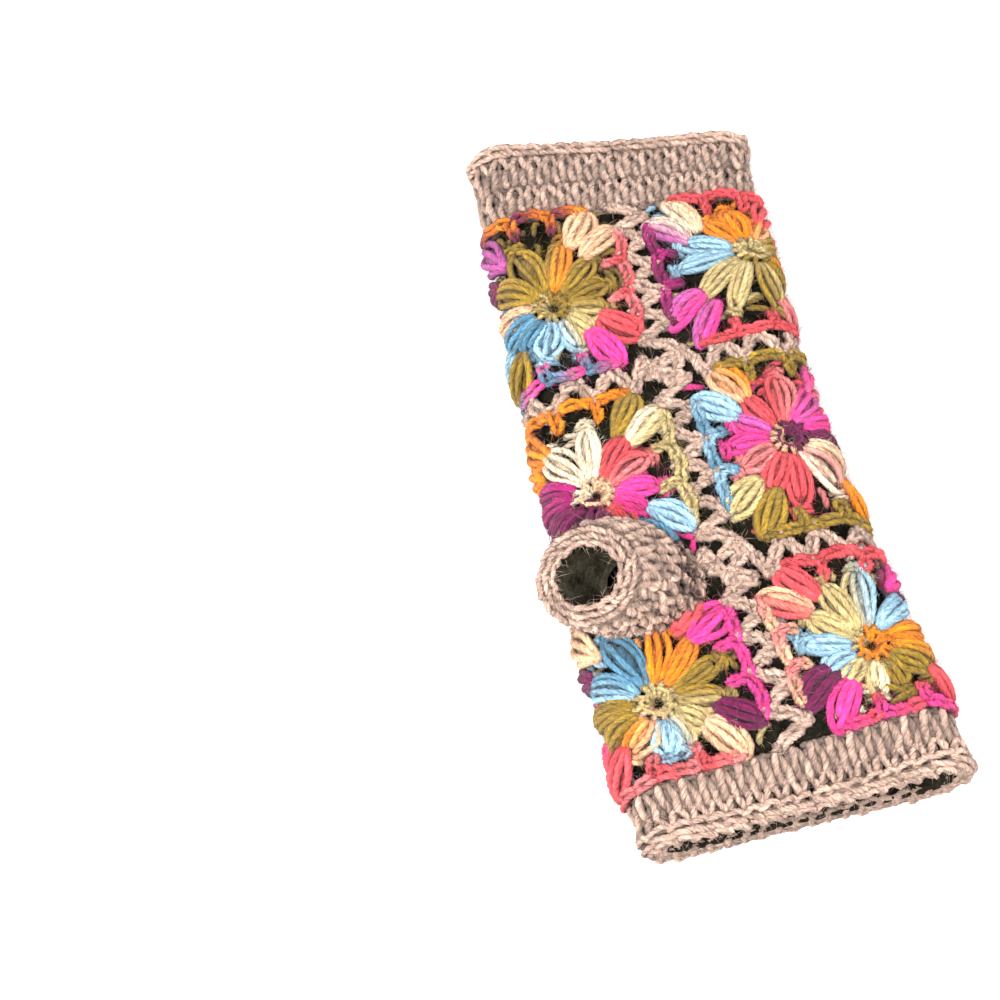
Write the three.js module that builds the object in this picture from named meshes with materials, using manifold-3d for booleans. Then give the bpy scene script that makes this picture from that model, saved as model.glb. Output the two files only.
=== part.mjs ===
// Crocheted wool hand warmer: an open tube of flower squares joined by a net, with two cuffs,
// a thumb sleeve and a fleece lining. It lies flat, finger end towards -Y and wrist end towards +Y.
import * as THREE from 'three';
import { mergeVertices } from 'three/addons/utils/BufferGeometryUtils.js';
import Module from 'manifold-3d';

// Driving dimensions in millimetres
const gloveLength = 257;      // longest distance from the finger edge to the wrist edge
const gloveWidth = 100;       // flat width of the crochet
const bodyHeight = 18;        // height of the lining tube inside the crochet
const liningWall = 1.8;       // fleece thickness
const liningGap = 1.7;        // room between the curved fleece and the net over it
const squareGap = 1.6;        // room between the curved fleece and the squares over it
const seamGap = 0.3;          // room between neighbouring pieces
const squareWall = 1.5;       // ground of a flower square
const petalRise = 3.1;        // height of a petal over that ground
const eyeHole = 3.6;          // hole in the middle of a flower
const eyeRing = 15;           // outer diameter of the ring of stitches round that hole
const netWall = 2.2;          // thickness of the joining net
const netWidth = 8.4;         // width of the net between two columns of squares
const netHoleWidth = 5.2;     // a hole of the net, tip to tip across its strip
const netHoleLength = 7.4;    // a hole of the net, tip to tip along its strip
const netStep = 16;           // distance from hole to hole along a strip
const cuffWall = 4.1;         // thickness of the crocheted cuffs, which stand on the surface
const edgeCord = 4.6;         // thickness of the chain edge round each mouth
const liningInset = 1.6;      // how far the fleece stays back from the mouths

// Thumb sleeve
const thumbReach = 21;        // how far its mouth leans over the side
const thumbForward = 5;       // how far its mouth leans towards the fingers
const thumbLift = 23;         // height of the middle of its mouth over its root
const thumbBore = 20.4;       // hole for the thumb, inside the fleece
const thumbWall = 4.4;        // thickness of the sleeve's crochet
const thumbGap = 0.4;         // room between the thumb's fleece and its sleeve
const thumbCord = 4.2;        // thickness of the chain edge round the thumb's mouth

// Mesh steps
const roundSteps = 28;
const cordSides = 6;
const petalSteps = 24;
const thumbSteps = 18;
const sectionSteps = 160;

// Courses across the glove, from the finger edge to the wrist edge.
// left and right give each course's place on either side, as shares of the length.
const courses = [
  { name: 'finger edge', left: 0.000, right: 0.017 },
  { name: 'finger cuff top', left: 0.060, right: 0.093 },
  { name: 'finger row top', left: 0.300, right: 0.320 },
  { name: 'middle row top', left: 0.575, right: 0.612 },
  { name: 'wrist cuff foot', left: 0.867, right: 0.849 },
  { name: 'wrist edge', left: 1.000, right: 0.962 },
];
const cuffTop = 1;
const fingerRowTop = 2;
const middleRowTop = 3;
const wristFoot = 4;
const wristEdge = 5;

// Cross sections of the lining tube, one every half course.
// width and shift are shares of the half width, left, right and dip shares of the body height.
const sections = [
  { course: 0.0, width: 0.99, shift: 0.03, left: 0.53, right: 0.80, dip: 0.14 },
  { course: 0.5, width: 1.00, shift: 0.01, left: 0.74, right: 0.87, dip: 0.09 },
  { course: 1.0, width: 1.00, shift: -0.01, left: 0.90, right: 0.94, dip: 0.05 },
  { course: 1.5, width: 0.985, shift: -0.055, left: 1.00, right: 0.98, dip: -0.05 },
  { course: 2.0, width: 0.945, shift: -0.092, left: 1.00, right: 0.95, dip: 0.01 },
  { course: 2.5, width: 0.925, shift: -0.112, left: 1.04, right: 1.00, dip: -0.07 },
  { course: 3.0, width: 0.905, shift: -0.102, left: 0.98, right: 0.95, dip: 0.01 },
  { course: 3.5, width: 0.925, shift: -0.082, left: 1.02, right: 1.00, dip: -0.06 },
  { course: 4.0, width: 0.935, shift: -0.052, left: 0.94, right: 0.92, dip: 0.02 },
  { course: 4.5, width: 0.955, shift: -0.030, left: 0.90, right: 0.86, dip: 0.05 },
  { course: 5.0, width: 0.97, shift: -0.005, left: 0.84, right: 0.80, dip: 0.12 },
];
const sideRound = 0.2;        // share of the half width that the round sides take

// Columns of squares round the tube, as shares of the girth counted from the middle of the top
const columnCount = 3;
const columns = [
  { name: 'left', middle: -1 / 6 },
  { name: 'right', middle: 1 / 6 },
  { name: 'under', middle: 1 / 2 },
];
const rows = [
  { name: 'finger', course: cuffTop },
  { name: 'middle', course: fingerRowTop },
  { name: 'wrist', course: middleRowTop },
];

// How far each flower's eye sits from the middle of its square, as shares of the square's
// half width and half length, and the main colour of its wool
const flowers = {
  finger_left: { across: 0.00, along: -0.20, colour: 0xa58c32 },
  finger_right: { across: -0.07, along: -0.18, colour: 0xcdb973 },
  finger_under: { across: 0.05, along: -0.05, colour: 0xe15a64 },
  middle_left: { across: 0.00, along: -0.11, colour: 0xfa4ba5 },
  middle_right: { across: -0.05, along: 0.00, colour: 0xe8707c },
  middle_under: { across: 0.00, along: 0.05, colour: 0x5a8caa },
  wrist_left: { across: 0.03, along: -0.18, colour: 0xa58c32 },
  wrist_right: { across: 0.18, along: 0.12, colour: 0xff960a },
  wrist_under: { across: -0.04, along: 0.00, colour: 0xaf5096 },
};

// Thumb sleeve's sections from its root on the lining to its mouth. radius is a share of its
// outer radius, lean and pitch are how far it faces the side and the fingers for each unit up.
const thumbSections = [
  { along: 0.00, radius: 1.00, lean: 0.00, pitch: 0.00 },
  { along: 0.30, radius: 1.06, lean: 0.62, pitch: 0.08 },
  { along: 0.65, radius: 1.02, lean: 0.66, pitch: 0.22 },
  { along: 1.00, radius: 0.88, lean: 0.50, pitch: 0.38 },
];
const thumbRoot = { girth: -0.1245, course: fingerRowTop };
const thumbBend = { reach: 0.52, forward: 0.30, lift: 0.66 };

// Rings of a flower square. fixed is a share of the eye ring's radius, share the part of the way
// from that ring to the square's edge. petal, corner and side are shares of the petal rise.
const flowerRings = [
  { fixed: eyeHole / eyeRing, share: 0.00, petal: 0.00, corner: 0.00, side: 0.00 },
  { fixed: 0.62, share: 0.00, petal: 0.45, corner: 0.30, side: 0.30 },
  { fixed: 1.00, share: 0.00, petal: 0.45, corner: 0.05, side: 0.05 },
  { fixed: 1.00, share: 0.33, petal: 1.00, corner: 0.15, side: 0.15 },
  { fixed: 1.00, share: 0.72, petal: 0.30, corner: 1.00, side: 0.20 },
  { fixed: 1.00, share: 1.00, petal: 0.20, corner: 0.55, side: 0.20 },
];
const groundRings = [1.0, 0.75, 0.5, 0.25, 0.0];
const squareRoundness = 5;    // exponent of the rounded square

// Crochet under the lining, and half the width of the lining tube
const crochetDepth = seamGap + cuffWall;
const halfWidth = gloveWidth / 2 - crochetDepth;
const wool = 0xbaa89b;
const fleece = 0x6e6955;

const wasm = await Module();
wasm.setup();

// Value between the rows of a table, on a smooth curve through them
function curveThrough(table, key, column, at) {
  const last = table.length - 1;
  let low = 0;
  while (low < last - 1 && table[low + 1][key] <= at) low += 1;
  const span = table[low + 1][key] - table[low][key];
  const part = THREE.MathUtils.clamp((at - table[low][key]) / span, 0, 1);
  const before = table[Math.max(low - 1, 0)][column];
  const after = table[Math.min(low + 2, last)][column];
  const start = table[low][column];
  const end = table[low + 1][column];
  const leaving = (end - before) / 2;
  const arriving = (after - start) / 2;
  const square = part * part;
  const cube = square * part;
  return start * (2 * cube - 3 * square + 1) + leaving * (cube - 2 * square + part)
    + end * (3 * square - 2 * cube) + arriving * (cube - square);
}

// Place of a course along Y, where side runs from 0 at the left edge to 1 at the right
function coursePlace(course, side) {
  const low = Math.min(Math.max(Math.floor(course), 0), courses.length - 2);
  const part = course - low;
  const left = THREE.MathUtils.lerp(courses[low].left, courses[low + 1].left, part);
  const right = THREE.MathUtils.lerp(courses[low].right, courses[low + 1].right, part);
  return (THREE.MathUtils.lerp(left, right, side) - 0.5) * gloveLength;
}

// Course value that lies the given distance past another one, on the middle line
function courseAfter(course, distance) {
  const forward = distance >= 0;
  const low = forward ? Math.floor(course) : Math.ceil(course) - 1;
  const bounded = THREE.MathUtils.clamp(low, 0, courses.length - 2);
  const length = coursePlace(bounded + 1, 0.5) - coursePlace(bounded, 0.5);
  return course + distance / length;
}

// Height of the tube over its underside at a sideways place from -1 to 1
function heightAt(section, sideways) {
  const edge = THREE.MathUtils.lerp(section.left, section.right, (sideways + 1) / 2);
  return bodyHeight * (edge - section.dip * (1 - sideways * sideways));
}

// Closed outline of the lining tube at a course, from the middle of the top round to the right
const outlineCache = new Map();
function outlineAt(course) {
  const key = course.toFixed(5);
  if (outlineCache.has(key)) return outlineCache.get(key);
  const section = {};
  for (const column of ['width', 'shift', 'left', 'right', 'dip']) {
    section[column] = curveThrough(sections, 'course', column, course);
  }
  const flat = 1 - sideRound;
  const quarter = sideRound * Math.PI / 2;
  const perimeter = 4 * (flat + quarter);
  const points = [];
  for (let step = 0; step <= sectionSteps; step += 1) {
    const travel = step / sectionSteps * perimeter;
    const half = travel > perimeter / 2;
    const local = half ? perimeter - travel : travel;
    let sideways = local;
    let level = 1;
    if (local > flat + 2 * quarter) {
      sideways = perimeter / 2 - local;
      level = 0;
    } else if (local > flat) {
      const turn = (local - flat) / sideRound;
      sideways = flat + sideRound * Math.sin(turn);
      level = 0.5 + 0.5 * Math.cos(turn);
    }
    sideways = half ? -sideways : sideways;
    const x = halfWidth * section.width * sideways + section.shift * gloveWidth / 2;
    const z = crochetDepth + level * heightAt(section, sideways);
    const run = step === 0 ? 0
      : points[step - 1].run + Math.hypot(x - points[step - 1].x, z - points[step - 1].z);
    points.push({ x, z, sideways, run });
  }
  outlineCache.set(key, points);
  return points;
}

// Length round the lining tube at a course
function girthAt(course) {
  const points = outlineAt(course);
  return points[points.length - 1].run;
}

// Point over the lining tube: girth is a share of the girth, lift the distance outwards
function overLining(girth, course, lift) {
  const points = outlineAt(course);
  const total = points[points.length - 1].run;
  const run = THREE.MathUtils.euclideanModulo(girth, 1) * total;
  let low = 0;
  let high = points.length - 1;
  while (high - low > 1) {
    const middle = (low + high) >> 1;
    if (points[middle].run <= run) low = middle;
    else high = middle;
  }
  const from = points[low];
  const to = points[high];
  const part = (run - from.run) / (to.run - from.run);
  const before = points[(low - 1 + sectionSteps) % sectionSteps];
  const after = points[(high + 1) % sectionSteps];
  const tangent = new THREE.Vector2(
    THREE.MathUtils.lerp(to.x - before.x, after.x - from.x, part),
    THREE.MathUtils.lerp(to.z - before.z, after.z - from.z, part),
  ).normalize();
  const side = (THREE.MathUtils.lerp(from.sideways, to.sideways, part) + 1) / 2;
  const x = THREE.MathUtils.lerp(from.x, to.x, part) - tangent.y * lift;
  const z = THREE.MathUtils.lerp(from.z, to.z, part) + tangent.x * lift;
  return new THREE.Vector3(x, coursePlace(course, side), Math.max(z, 0));
}

// Loop of points round the tube
function loopRound(course, lift, steps = roundSteps) {
  const loop = [];
  for (let step = 0; step < steps; step += 1) loop.push(overLining(step / steps, course, lift));
  return loop;
}

// Signed volume of a list of triangles
function volumeOf(points, triangles) {
  let volume = 0;
  for (const [a, b, c] of triangles) {
    volume += points[a].dot(new THREE.Vector3().crossVectors(points[b], points[c])) / 6;
  }
  return volume;
}

// Geometry from points and triangles, with its faces turned outwards
function geometryFrom(points, triangles) {
  const outward = volumeOf(points, triangles) > 0;
  const index = triangles.flatMap(([a, b, c]) => (outward ? [a, b, c] : [a, c, b]));
  const geometry = new THREE.BufferGeometry();
  geometry.setAttribute('position', new THREE.Float32BufferAttribute(points.flatMap((p) => p.toArray()), 3));
  geometry.setIndex(index);
  return geometry;
}

// Two triangles over four corners, split along the shorter diagonal
function splitQuad(points, a, b, c, d) {
  const first = points[a].distanceTo(points[c]) <= points[b].distanceTo(points[d]);
  return first ? [[a, b, c], [a, c, d]] : [[a, b, d], [b, c, d]];
}

// Skin between loops of equal length, each joined to the next and the last to the first
function ringSolid(loops) {
  const points = loops.flat();
  const count = loops[0].length;
  const triangles = [];
  for (let row = 0; row < loops.length; row += 1) {
    const next = (row + 1) % loops.length;
    for (let step = 0; step < count; step += 1) {
      const after = (step + 1) % count;
      const a = row * count + step;
      const b = row * count + after;
      const c = next * count + after;
      const d = next * count + step;
      triangles.push(...splitQuad(points, a, b, c, d));
    }
  }
  return geometryFrom(points, triangles);
}

// Filled solid between loops of equal length, closed by a fan at both ends
function filledSolid(loops) {
  const points = loops.flat();
  const count = loops[0].length;
  const triangles = [];
  for (let row = 0; row < loops.length - 1; row += 1) {
    for (let step = 0; step < count; step += 1) {
      const after = (step + 1) % count;
      const a = row * count + step;
      const b = row * count + after;
      triangles.push(...splitQuad(points, a, b, b + count, a + count));
    }
  }
  for (const [row, turned] of [[0, true], [loops.length - 1, false]]) {
    const middle = new THREE.Vector3();
    for (const point of loops[row]) middle.addScaledVector(point, 1 / count);
    const hub = points.push(middle) - 1;
    for (let step = 0; step < count; step += 1) {
      const a = row * count + step;
      const b = row * count + (step + 1) % count;
      triangles.push(turned ? [hub, b, a] : [hub, a, b]);
    }
  }
  return geometryFrom(points, triangles);
}

// Boolean solid of a geometry, and a geometry of a boolean solid
function toSolid(geometry) {
  const bare = geometry.clone();
  for (const name of ['normal', 'uv']) bare.deleteAttribute(name);
  const merged = mergeVertices(bare, 1e-4);
  const mesh = new wasm.Mesh({
    numProp: 3,
    vertProperties: new Float32Array(merged.attributes.position.array),
    triVerts: new Uint32Array(merged.index.array),
  });
  return new wasm.Manifold(mesh);
}

function toGeometry(solid) {
  const mesh = solid.getMesh();
  const geometry = new THREE.BufferGeometry();
  geometry.setAttribute('position', new THREE.BufferAttribute(new Float32Array(mesh.vertProperties), 3));
  geometry.setIndex(new THREE.BufferAttribute(new Uint32Array(mesh.triVerts), 1));
  return geometry;
}

// Wall that follows the tube between two courses, from an inner to an outer lift
function tubeWall(stations, outerLift, innerLift) {
  const outer = stations.map((course) => loopRound(course, outerLift));
  const inner = stations.map((course) => loopRound(course, innerLift)).reverse();
  return ringSolid([...outer, ...inner]);
}

// Even steps from one value to another
function evenSteps(from, to, count) {
  return Array.from({ length: count + 1 }, (_, step) => THREE.MathUtils.lerp(from, to, step / count));
}

// Courses of the cuffs' sections
const fingerCuffStart = courseAfter(0, edgeCord + seamGap);
const wristCuffEnd = courseAfter(wristEdge, -edgeCord - seamGap);
const fingerCuffCourses = evenSteps(fingerCuffStart, cuffTop, 2);
const wristCuffCourses = evenSteps(wristFoot, wristCuffEnd, 3);

// Fleece tube, which shares the cuffs' sections
function liningCourses() {
  return [
    courseAfter(0, liningInset),
    ...fingerCuffCourses.slice(0, -1),
    ...evenSteps(cuffTop, wristFoot, 8).slice(0, -1),
    ...wristCuffCourses,
    courseAfter(wristEdge, -liningInset),
  ];
}

function liningWallSolid() {
  const stations = liningCourses();
  return tubeWall(stations, 0, -liningWall);
}

// Cuff over the lining at a list of courses
function cuff(stations) {
  return tubeWall(stations, seamGap + cuffWall, seamGap);
}

// Round cord that runs round a mouth, its middle on the given course
function edgeRing(course, thickness) {
  const radius = thickness / 2;
  const loops = [];
  for (let side = 0; side < cordSides; side += 1) {
    const turn = side / cordSides * 2 * Math.PI;
    const along = courseAfter(course, radius * Math.cos(turn));
    loops.push(loopRound(along, seamGap + radius * (1 + Math.sin(turn))));
  }
  return ringSolid(loops);
}

// Size of a square in a row, in millimetres on the lining
function squareSize(row) {
  const middle = row.course + 0.5;
  const pitch = girthAt(middle) / columnCount;
  const length = coursePlace(row.course + 1, 0.5) - coursePlace(row.course, 0.5);
  const lowEdge = row.course === cuffTop ? seamGap : netWidth / 2 + seamGap;
  const highEdge = row.course + 1 === wristFoot ? seamGap : netWidth / 2 + seamGap;
  return {
    pitch,
    length,
    halfAcross: (pitch - netWidth) / 2 - seamGap,
    halfAlong: (length - lowEdge - highEdge) / 2,
    offset: (lowEdge - highEdge) / 2,
  };
}

// Flower square: a thin plate over the lining with raised petals round an open eye
function flowerSquare(row, column) {
  const size = squareSize(row);
  const flower = flowers[`${row.name}_${column.name}`];
  const eye = new THREE.Vector2(flower.across * size.halfAcross, flower.along * size.halfAlong);
  const place = (spot, lift) => {
    const along = (spot.y + size.offset) / size.length;
    return overLining(column.middle + spot.x / size.pitch / columnCount, row.course + 0.5 + along, lift);
  };
  const spotAt = (step, fixed, share) => {
    const turn = step / petalSteps * 2 * Math.PI;
    const across = Math.abs(Math.cos(turn) / size.halfAcross) ** squareRoundness;
    const along = Math.abs(Math.sin(turn) / size.halfAlong) ** squareRoundness;
    const reach = (across + along) ** (-1 / squareRoundness);
    const way = new THREE.Vector2(Math.cos(turn) * reach, Math.sin(turn) * reach).sub(eye);
    const distance = way.length();
    const radius = fixed * eyeRing / 2 + share * (distance - eyeRing / 2);
    return eye.clone().addScaledVector(way, radius / distance);
  };
  const riseAt = (step, ring) => {
    const sixth = step % 6;
    const side = sixth === 0 || sixth === 1 || sixth === 5;
    const petal = step % 2 === 1 ? ring.petal : 0;
    const puff = sixth === 2 || sixth === 4 ? ring.corner : 0;
    return Math.max(petal, puff, side ? ring.side : 0) * petalRise;
  };
  const steps = [...Array(petalSteps).keys()];
  const top = flowerRings.map((ring) => steps.map((step) => (
    place(spotAt(step, ring.fixed, ring.share), squareGap + squareWall + riseAt(step, ring)))));
  const ground = groundRings.map((share) => steps.map((step) => (
    place(spotAt(step, 1, share), squareGap))));
  const hole = steps.map((step) => place(spotAt(step, flowerRings[0].fixed, 0), squareGap));
  return ringSolid([...top, ...ground, hole]);
}

// Intervals of the net's grid round the tube: a strip between two columns, then cells across one
function netGirths() {
  const nominal = girthAt(fingerRowTop + 0.5);
  const half = netWidth / 2 / nominal;
  const pitch = 1 / columnCount;
  const count = Math.max(1, Math.round((nominal * pitch - netWidth) / netStep));
  return columns.flatMap((column) => {
    const strip = column.middle + pitch / 2;
    const stops = evenSteps(strip + half, strip + pitch - half, count);
    const cells = stops.slice(1).map((to, cell) => ({ from: stops[cell], to, strip: false }));
    return [{ from: strip - half, to: strip + half, strip: true }, ...cells];
  });
}

// Intervals of the net's grid along the tube: cells beside each row, and a strip between two rows
function netCourses() {
  const stops = [fingerRowTop, middleRowTop].map((course) => (
    { from: courseAfter(course, -netWidth / 2), to: courseAfter(course, netWidth / 2), strip: true }));
  const ends = [courseAfter(cuffTop, seamGap), courseAfter(wristFoot, -seamGap)];
  const runs = [[ends[0], stops[0].from], [stops[0].to, stops[1].from], [stops[1].to, ends[1]]];
  return runs.flatMap(([from, to], run) => {
    const length = coursePlace(to, 0.5) - coursePlace(from, 0.5);
    const places = evenSteps(from, to, Math.max(1, Math.round(length / netStep)));
    const cells = places.slice(1).map((end, cell) => ({ from: places[cell], to: end, strip: false }));
    return run < stops.length ? [...cells, stops[run]] : cells;
  });
}

// Joining net: strips of cells, each with a diamond hole, wrapped over the lining
function joiningNet() {
  const points = [];
  const triangles = [];
  const shared = new Map();
  const low = liningGap;
  const high = liningGap + netWall;
  const spot = ([girth, course], lift) => {
    const turn = THREE.MathUtils.euclideanModulo(girth + 1e-6, 1).toFixed(4);
    const key = `${turn} ${course.toFixed(5)} ${lift}`;
    if (!shared.has(key)) shared.set(key, points.push(overLining(girth, course, lift)) - 1);
    return shared.get(key);
  };
  const wall = (start, end) => {
    const [a, b, c, d] = [spot(start, low), spot(end, low), spot(end, high), spot(start, high)];
    triangles.push([a, b, c], [a, c, d]);
  };
  const girths = netGirths();
  const runs = netCourses();
  const filled = (round, along) => {
    const run = runs[along];
    const girth = girths[(round + girths.length) % girths.length];
    return run !== undefined && (girth.strip || run.strip);
  };
  for (let round = 0; round < girths.length; round += 1) {
    for (let along = 0; along < runs.length; along += 1) {
      if (!filled(round, along)) continue;
      const { from: left, to: right } = girths[round];
      const { from: start, to: end } = runs[along];
      const lengthwise = girths[round].strip;
      const width = (right - left) * girthAt(fingerRowTop + 0.5);
      const length = coursePlace(end, 0.5) - coursePlace(start, 0.5);
      const reachAcross = (right - left) / 2 * (lengthwise ? netHoleWidth : netHoleLength) / width;
      const reachAlong = (end - start) / 2 * (runs[along].strip ? netHoleWidth : netHoleLength) / length;
      const middle = [(left + right) / 2, (start + end) / 2];
      const corners = [[left, start], [right, start], [right, end], [left, end]];
      const mids = [[middle[0], start], [right, middle[1]], [middle[0], end], [left, middle[1]]];
      const tips = [[middle[0], middle[1] - reachAlong], [middle[0] + reachAcross, middle[1]],
        [middle[0], middle[1] + reachAlong], [middle[0] - reachAcross, middle[1]]];
      const beyond = [[round, along - 1], [round + 1, along], [round, along + 1], [round - 1, along]];
      for (let side = 0; side < 4; side += 1) {
        const next = (side + 1) % 4;
        const fans = [
          [mids[side], corners[next], tips[side]],
          [corners[next], tips[next], tips[side]],
          [corners[next], mids[next], tips[next]],
        ];
        for (const fan of fans) {
          const upper = fan.map((corner) => spot(corner, high));
          const lower = fan.map((corner) => spot(corner, low));
          triangles.push(upper, lower.reverse());
        }
        wall(tips[next], tips[side]);
        if (!filled(...beyond[side])) {
          wall(corners[side], mids[side]);
          wall(mids[side], corners[next]);
        }
      }
    }
  }
  return geometryFrom(points, triangles);
}

const thumbLiningRadius = thumbBore / 2 + liningWall;
const thumbInner = thumbLiningRadius + thumbGap;
const thumbRadius = thumbInner + thumbWall;

// Middle line of the thumb sleeve, from its root on the lining to the middle of its mouth
function thumbLine() {
  const root = overLining(thumbRoot.girth, thumbRoot.course, 0);
  const offset = (reach, forward, lift) => (
    root.clone().add(new THREE.Vector3(-thumbReach * reach, -thumbForward * forward, thumbLift * lift)));
  const bend = offset(thumbBend.reach, thumbBend.forward, thumbBend.lift);
  return new THREE.QuadraticBezierCurve3(root, bend, offset(1, 1, 1));
}

// Loop round the thumb's root, on the lining
function rootLoop(radius, lift) {
  const girth = girthAt(thumbRoot.course);
  return [...Array(thumbSteps).keys()].map((step) => {
    const turn = step / thumbSteps * 2 * Math.PI;
    const across = thumbRoot.girth + radius * Math.cos(turn) / girth;
    return overLining(across, courseAfter(thumbRoot.course, radius * Math.sin(turn)), lift);
  });
}

// Loop round the thumb's middle line at a share of its length, moved back along the way it faces
function thumbLoop(line, share, radius, back = 0) {
  const lean = curveThrough(thumbSections, 'along', 'lean', share);
  const pitch = curveThrough(thumbSections, 'along', 'pitch', share);
  const facing = new THREE.Vector3(-lean, -pitch, 1).normalize();
  const across = new THREE.Vector3(0, 1, 0).cross(facing).normalize();
  const up = new THREE.Vector3().crossVectors(facing, across);
  const middle = line.getPoint(share).addScaledVector(facing, -back);
  return [...Array(thumbSteps).keys()].map((step) => {
    const turn = step / thumbSteps * 2 * Math.PI;
    return middle.clone().addScaledVector(across, radius * Math.cos(turn))
      .addScaledVector(up, radius * Math.sin(turn));
  });
}

// Loops up the thumb, from its root to behind its chain edge
function thumbLoops(line, radiusAt) {
  const back = thumbCord + seamGap;
  const shares = [0.3, 0.5, 0.7];
  return [
    rootLoop(radiusAt(0), liningGap),
    ...shares.map((share) => thumbLoop(line, share, radiusAt(share))),
    thumbLoop(line, 1, radiusAt(1), back),
  ];
}

// Outer radius of the sleeve at a share of its length
function thumbOuter(share) {
  return thumbRadius * curveThrough(thumbSections, 'along', 'radius', share);
}

function thumbSleeve(line) {
  const outer = thumbLoops(line, thumbOuter);
  const inner = thumbLoops(line, () => thumbInner).reverse();
  return ringSolid([...outer, ...inner]);
}

function thumbLiningTube(line) {
  const layer = (radius) => [rootLoop(radius, -liningWall), ...thumbLoops(line, () => radius)];
  return ringSolid([...layer(thumbLiningRadius), ...layer(thumbBore / 2).reverse()]);
}

// Room that the sleeve takes through the crochet
function sleevePlug(line) {
  const radiusAt = (share) => thumbOuter(share) + seamGap;
  return filledSolid([rootLoop(radiusAt(0), -liningWall), ...thumbLoops(line, radiusAt)]);
}

// Room that the thumb's fleece takes through the hand's fleece
function liningPlug() {
  return filledSolid([-2 * liningWall, liningWall].map((lift) => rootLoop(thumbInner, lift)));
}

function thumbEdge(line) {
  const radius = thumbCord / 2;
  const ring = thumbBore / 2 + radius;
  const loops = [];
  for (let side = 0; side < cordSides; side += 1) {
    const turn = side / cordSides * 2 * Math.PI;
    loops.push(thumbLoop(line, 1, ring + radius * Math.sin(turn), radius * (1 + Math.cos(turn))));
  }
  return ringSolid(loops);
}

const glove = new THREE.Group();

function addPiece(name, geometry, colour, roughness = 0.95) {
  geometry.computeVertexNormals();
  const material = new THREE.MeshStandardMaterial({ color: colour, roughness, metalness: 0 });
  const mesh = new THREE.Mesh(geometry, material);
  mesh.name = name;
  glove.add(mesh);
}

const line = thumbLine();
const sleeveRoom = toSolid(sleevePlug(line));

// Fleece
addPiece('lining', toGeometry(toSolid(liningWallSolid()).subtract(toSolid(liningPlug()))), fleece);
addPiece('thumb_lining', thumbLiningTube(line), fleece);

// Flower squares; the two that meet at the thumb are open round its sleeve
for (const row of rows) {
  for (const column of columns) {
    const name = `${row.name}_${column.name}`;
    const plate = flowerSquare(row, column);
    const meetsThumb = column.name === 'left' && row.name !== 'wrist';
    const shape = meetsThumb ? toGeometry(toSolid(plate).subtract(sleeveRoom)) : plate;
    addPiece(`square_${name}`, shape, flowers[name].colour);
  }
}

// Net, cuffs and their chain edges
addPiece('joining_net', toGeometry(toSolid(joiningNet()).subtract(sleeveRoom)), wool);
addPiece('finger_cuff', cuff(fingerCuffCourses), wool);
addPiece('wrist_cuff', cuff(wristCuffCourses), wool);
addPiece('finger_edge', edgeRing(courseAfter(0, edgeCord / 2), edgeCord), wool);
addPiece('wrist_edge', edgeRing(courseAfter(wristEdge, -edgeCord / 2), edgeCord), wool);

// Thumb
addPiece('thumb_sleeve', thumbSleeve(line), wool);
addPiece('thumb_edge', thumbEdge(line), wool);

// Stand the glove on the surface, with the origin under the middle of its box
const box = new THREE.Box3().setFromObject(glove);
const centre = box.getCenter(new THREE.Vector3());
glove.position.set(-centre.x, -centre.y, -box.min.z);

export default glove;
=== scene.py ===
"""Crocheted wool hand warmer: flower squares, joining net, ribbed cuffs, thumb sleeve and fleece lining.

Lengths are millimetres until a piece is woven, and metres from there on.
"""
import logging
import math
from dataclasses import dataclass, field
from enum import Enum
from typing import Any, Sequence

import bmesh
import bpy
import numpy as np
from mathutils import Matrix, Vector


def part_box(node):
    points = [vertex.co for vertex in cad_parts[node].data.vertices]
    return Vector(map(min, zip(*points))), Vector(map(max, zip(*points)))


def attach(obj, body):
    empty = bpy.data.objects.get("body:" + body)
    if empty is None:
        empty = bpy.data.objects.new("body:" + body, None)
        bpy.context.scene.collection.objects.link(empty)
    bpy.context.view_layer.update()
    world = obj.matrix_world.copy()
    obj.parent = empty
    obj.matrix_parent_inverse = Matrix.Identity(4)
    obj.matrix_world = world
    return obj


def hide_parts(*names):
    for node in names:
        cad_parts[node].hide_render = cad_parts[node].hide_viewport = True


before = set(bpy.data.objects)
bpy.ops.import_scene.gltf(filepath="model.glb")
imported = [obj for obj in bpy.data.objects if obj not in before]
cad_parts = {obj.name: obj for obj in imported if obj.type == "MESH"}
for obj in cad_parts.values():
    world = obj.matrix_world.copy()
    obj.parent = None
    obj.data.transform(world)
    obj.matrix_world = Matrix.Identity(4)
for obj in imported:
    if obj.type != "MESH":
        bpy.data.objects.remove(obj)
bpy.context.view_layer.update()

MILLIMETRE = 0.001
LOG = logging.getLogger("hand_warmer")
Dyes = tuple["Dye", "Dye"]


class Dye(Enum):
    """Wool dyes, as display colours from 0 to 255."""

    TAUPE = (203, 170, 153)
    PINK = (255, 62, 150)
    MAGENTA = (196, 30, 128)
    PLUM = (112, 14, 74)
    MAUVE = (188, 88, 160)
    CORAL = (234, 80, 88)
    SALMON = (240, 132, 132)
    ORANGE = (255, 138, 2)
    PEACH = (240, 188, 148)
    CREAM = (246, 224, 192)
    LIGHT_BLUE = (158, 200, 226)
    STEEL = (88, 140, 170)
    OLIVE = (158, 126, 40)
    PALE_OLIVE = (206, 182, 124)

    def linear(self) -> np.ndarray:
        """Returns the dye as linear red, green and blue."""
        return (np.array(self.value) / 255.0) ** 2.2


PLAIN_TAUPE: Dyes = (Dye.TAUPE, Dye.TAUPE)


class PuffStyle(Enum):
    """How the strands of a puff lie."""

    LOOPED = "looped"
    GATHERED = "gathered"


def eased(part: Any) -> Any:
    """Eases a share from 0 to 1, so that it starts and ends gently."""
    return part * part * (3 - 2 * part)


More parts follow.
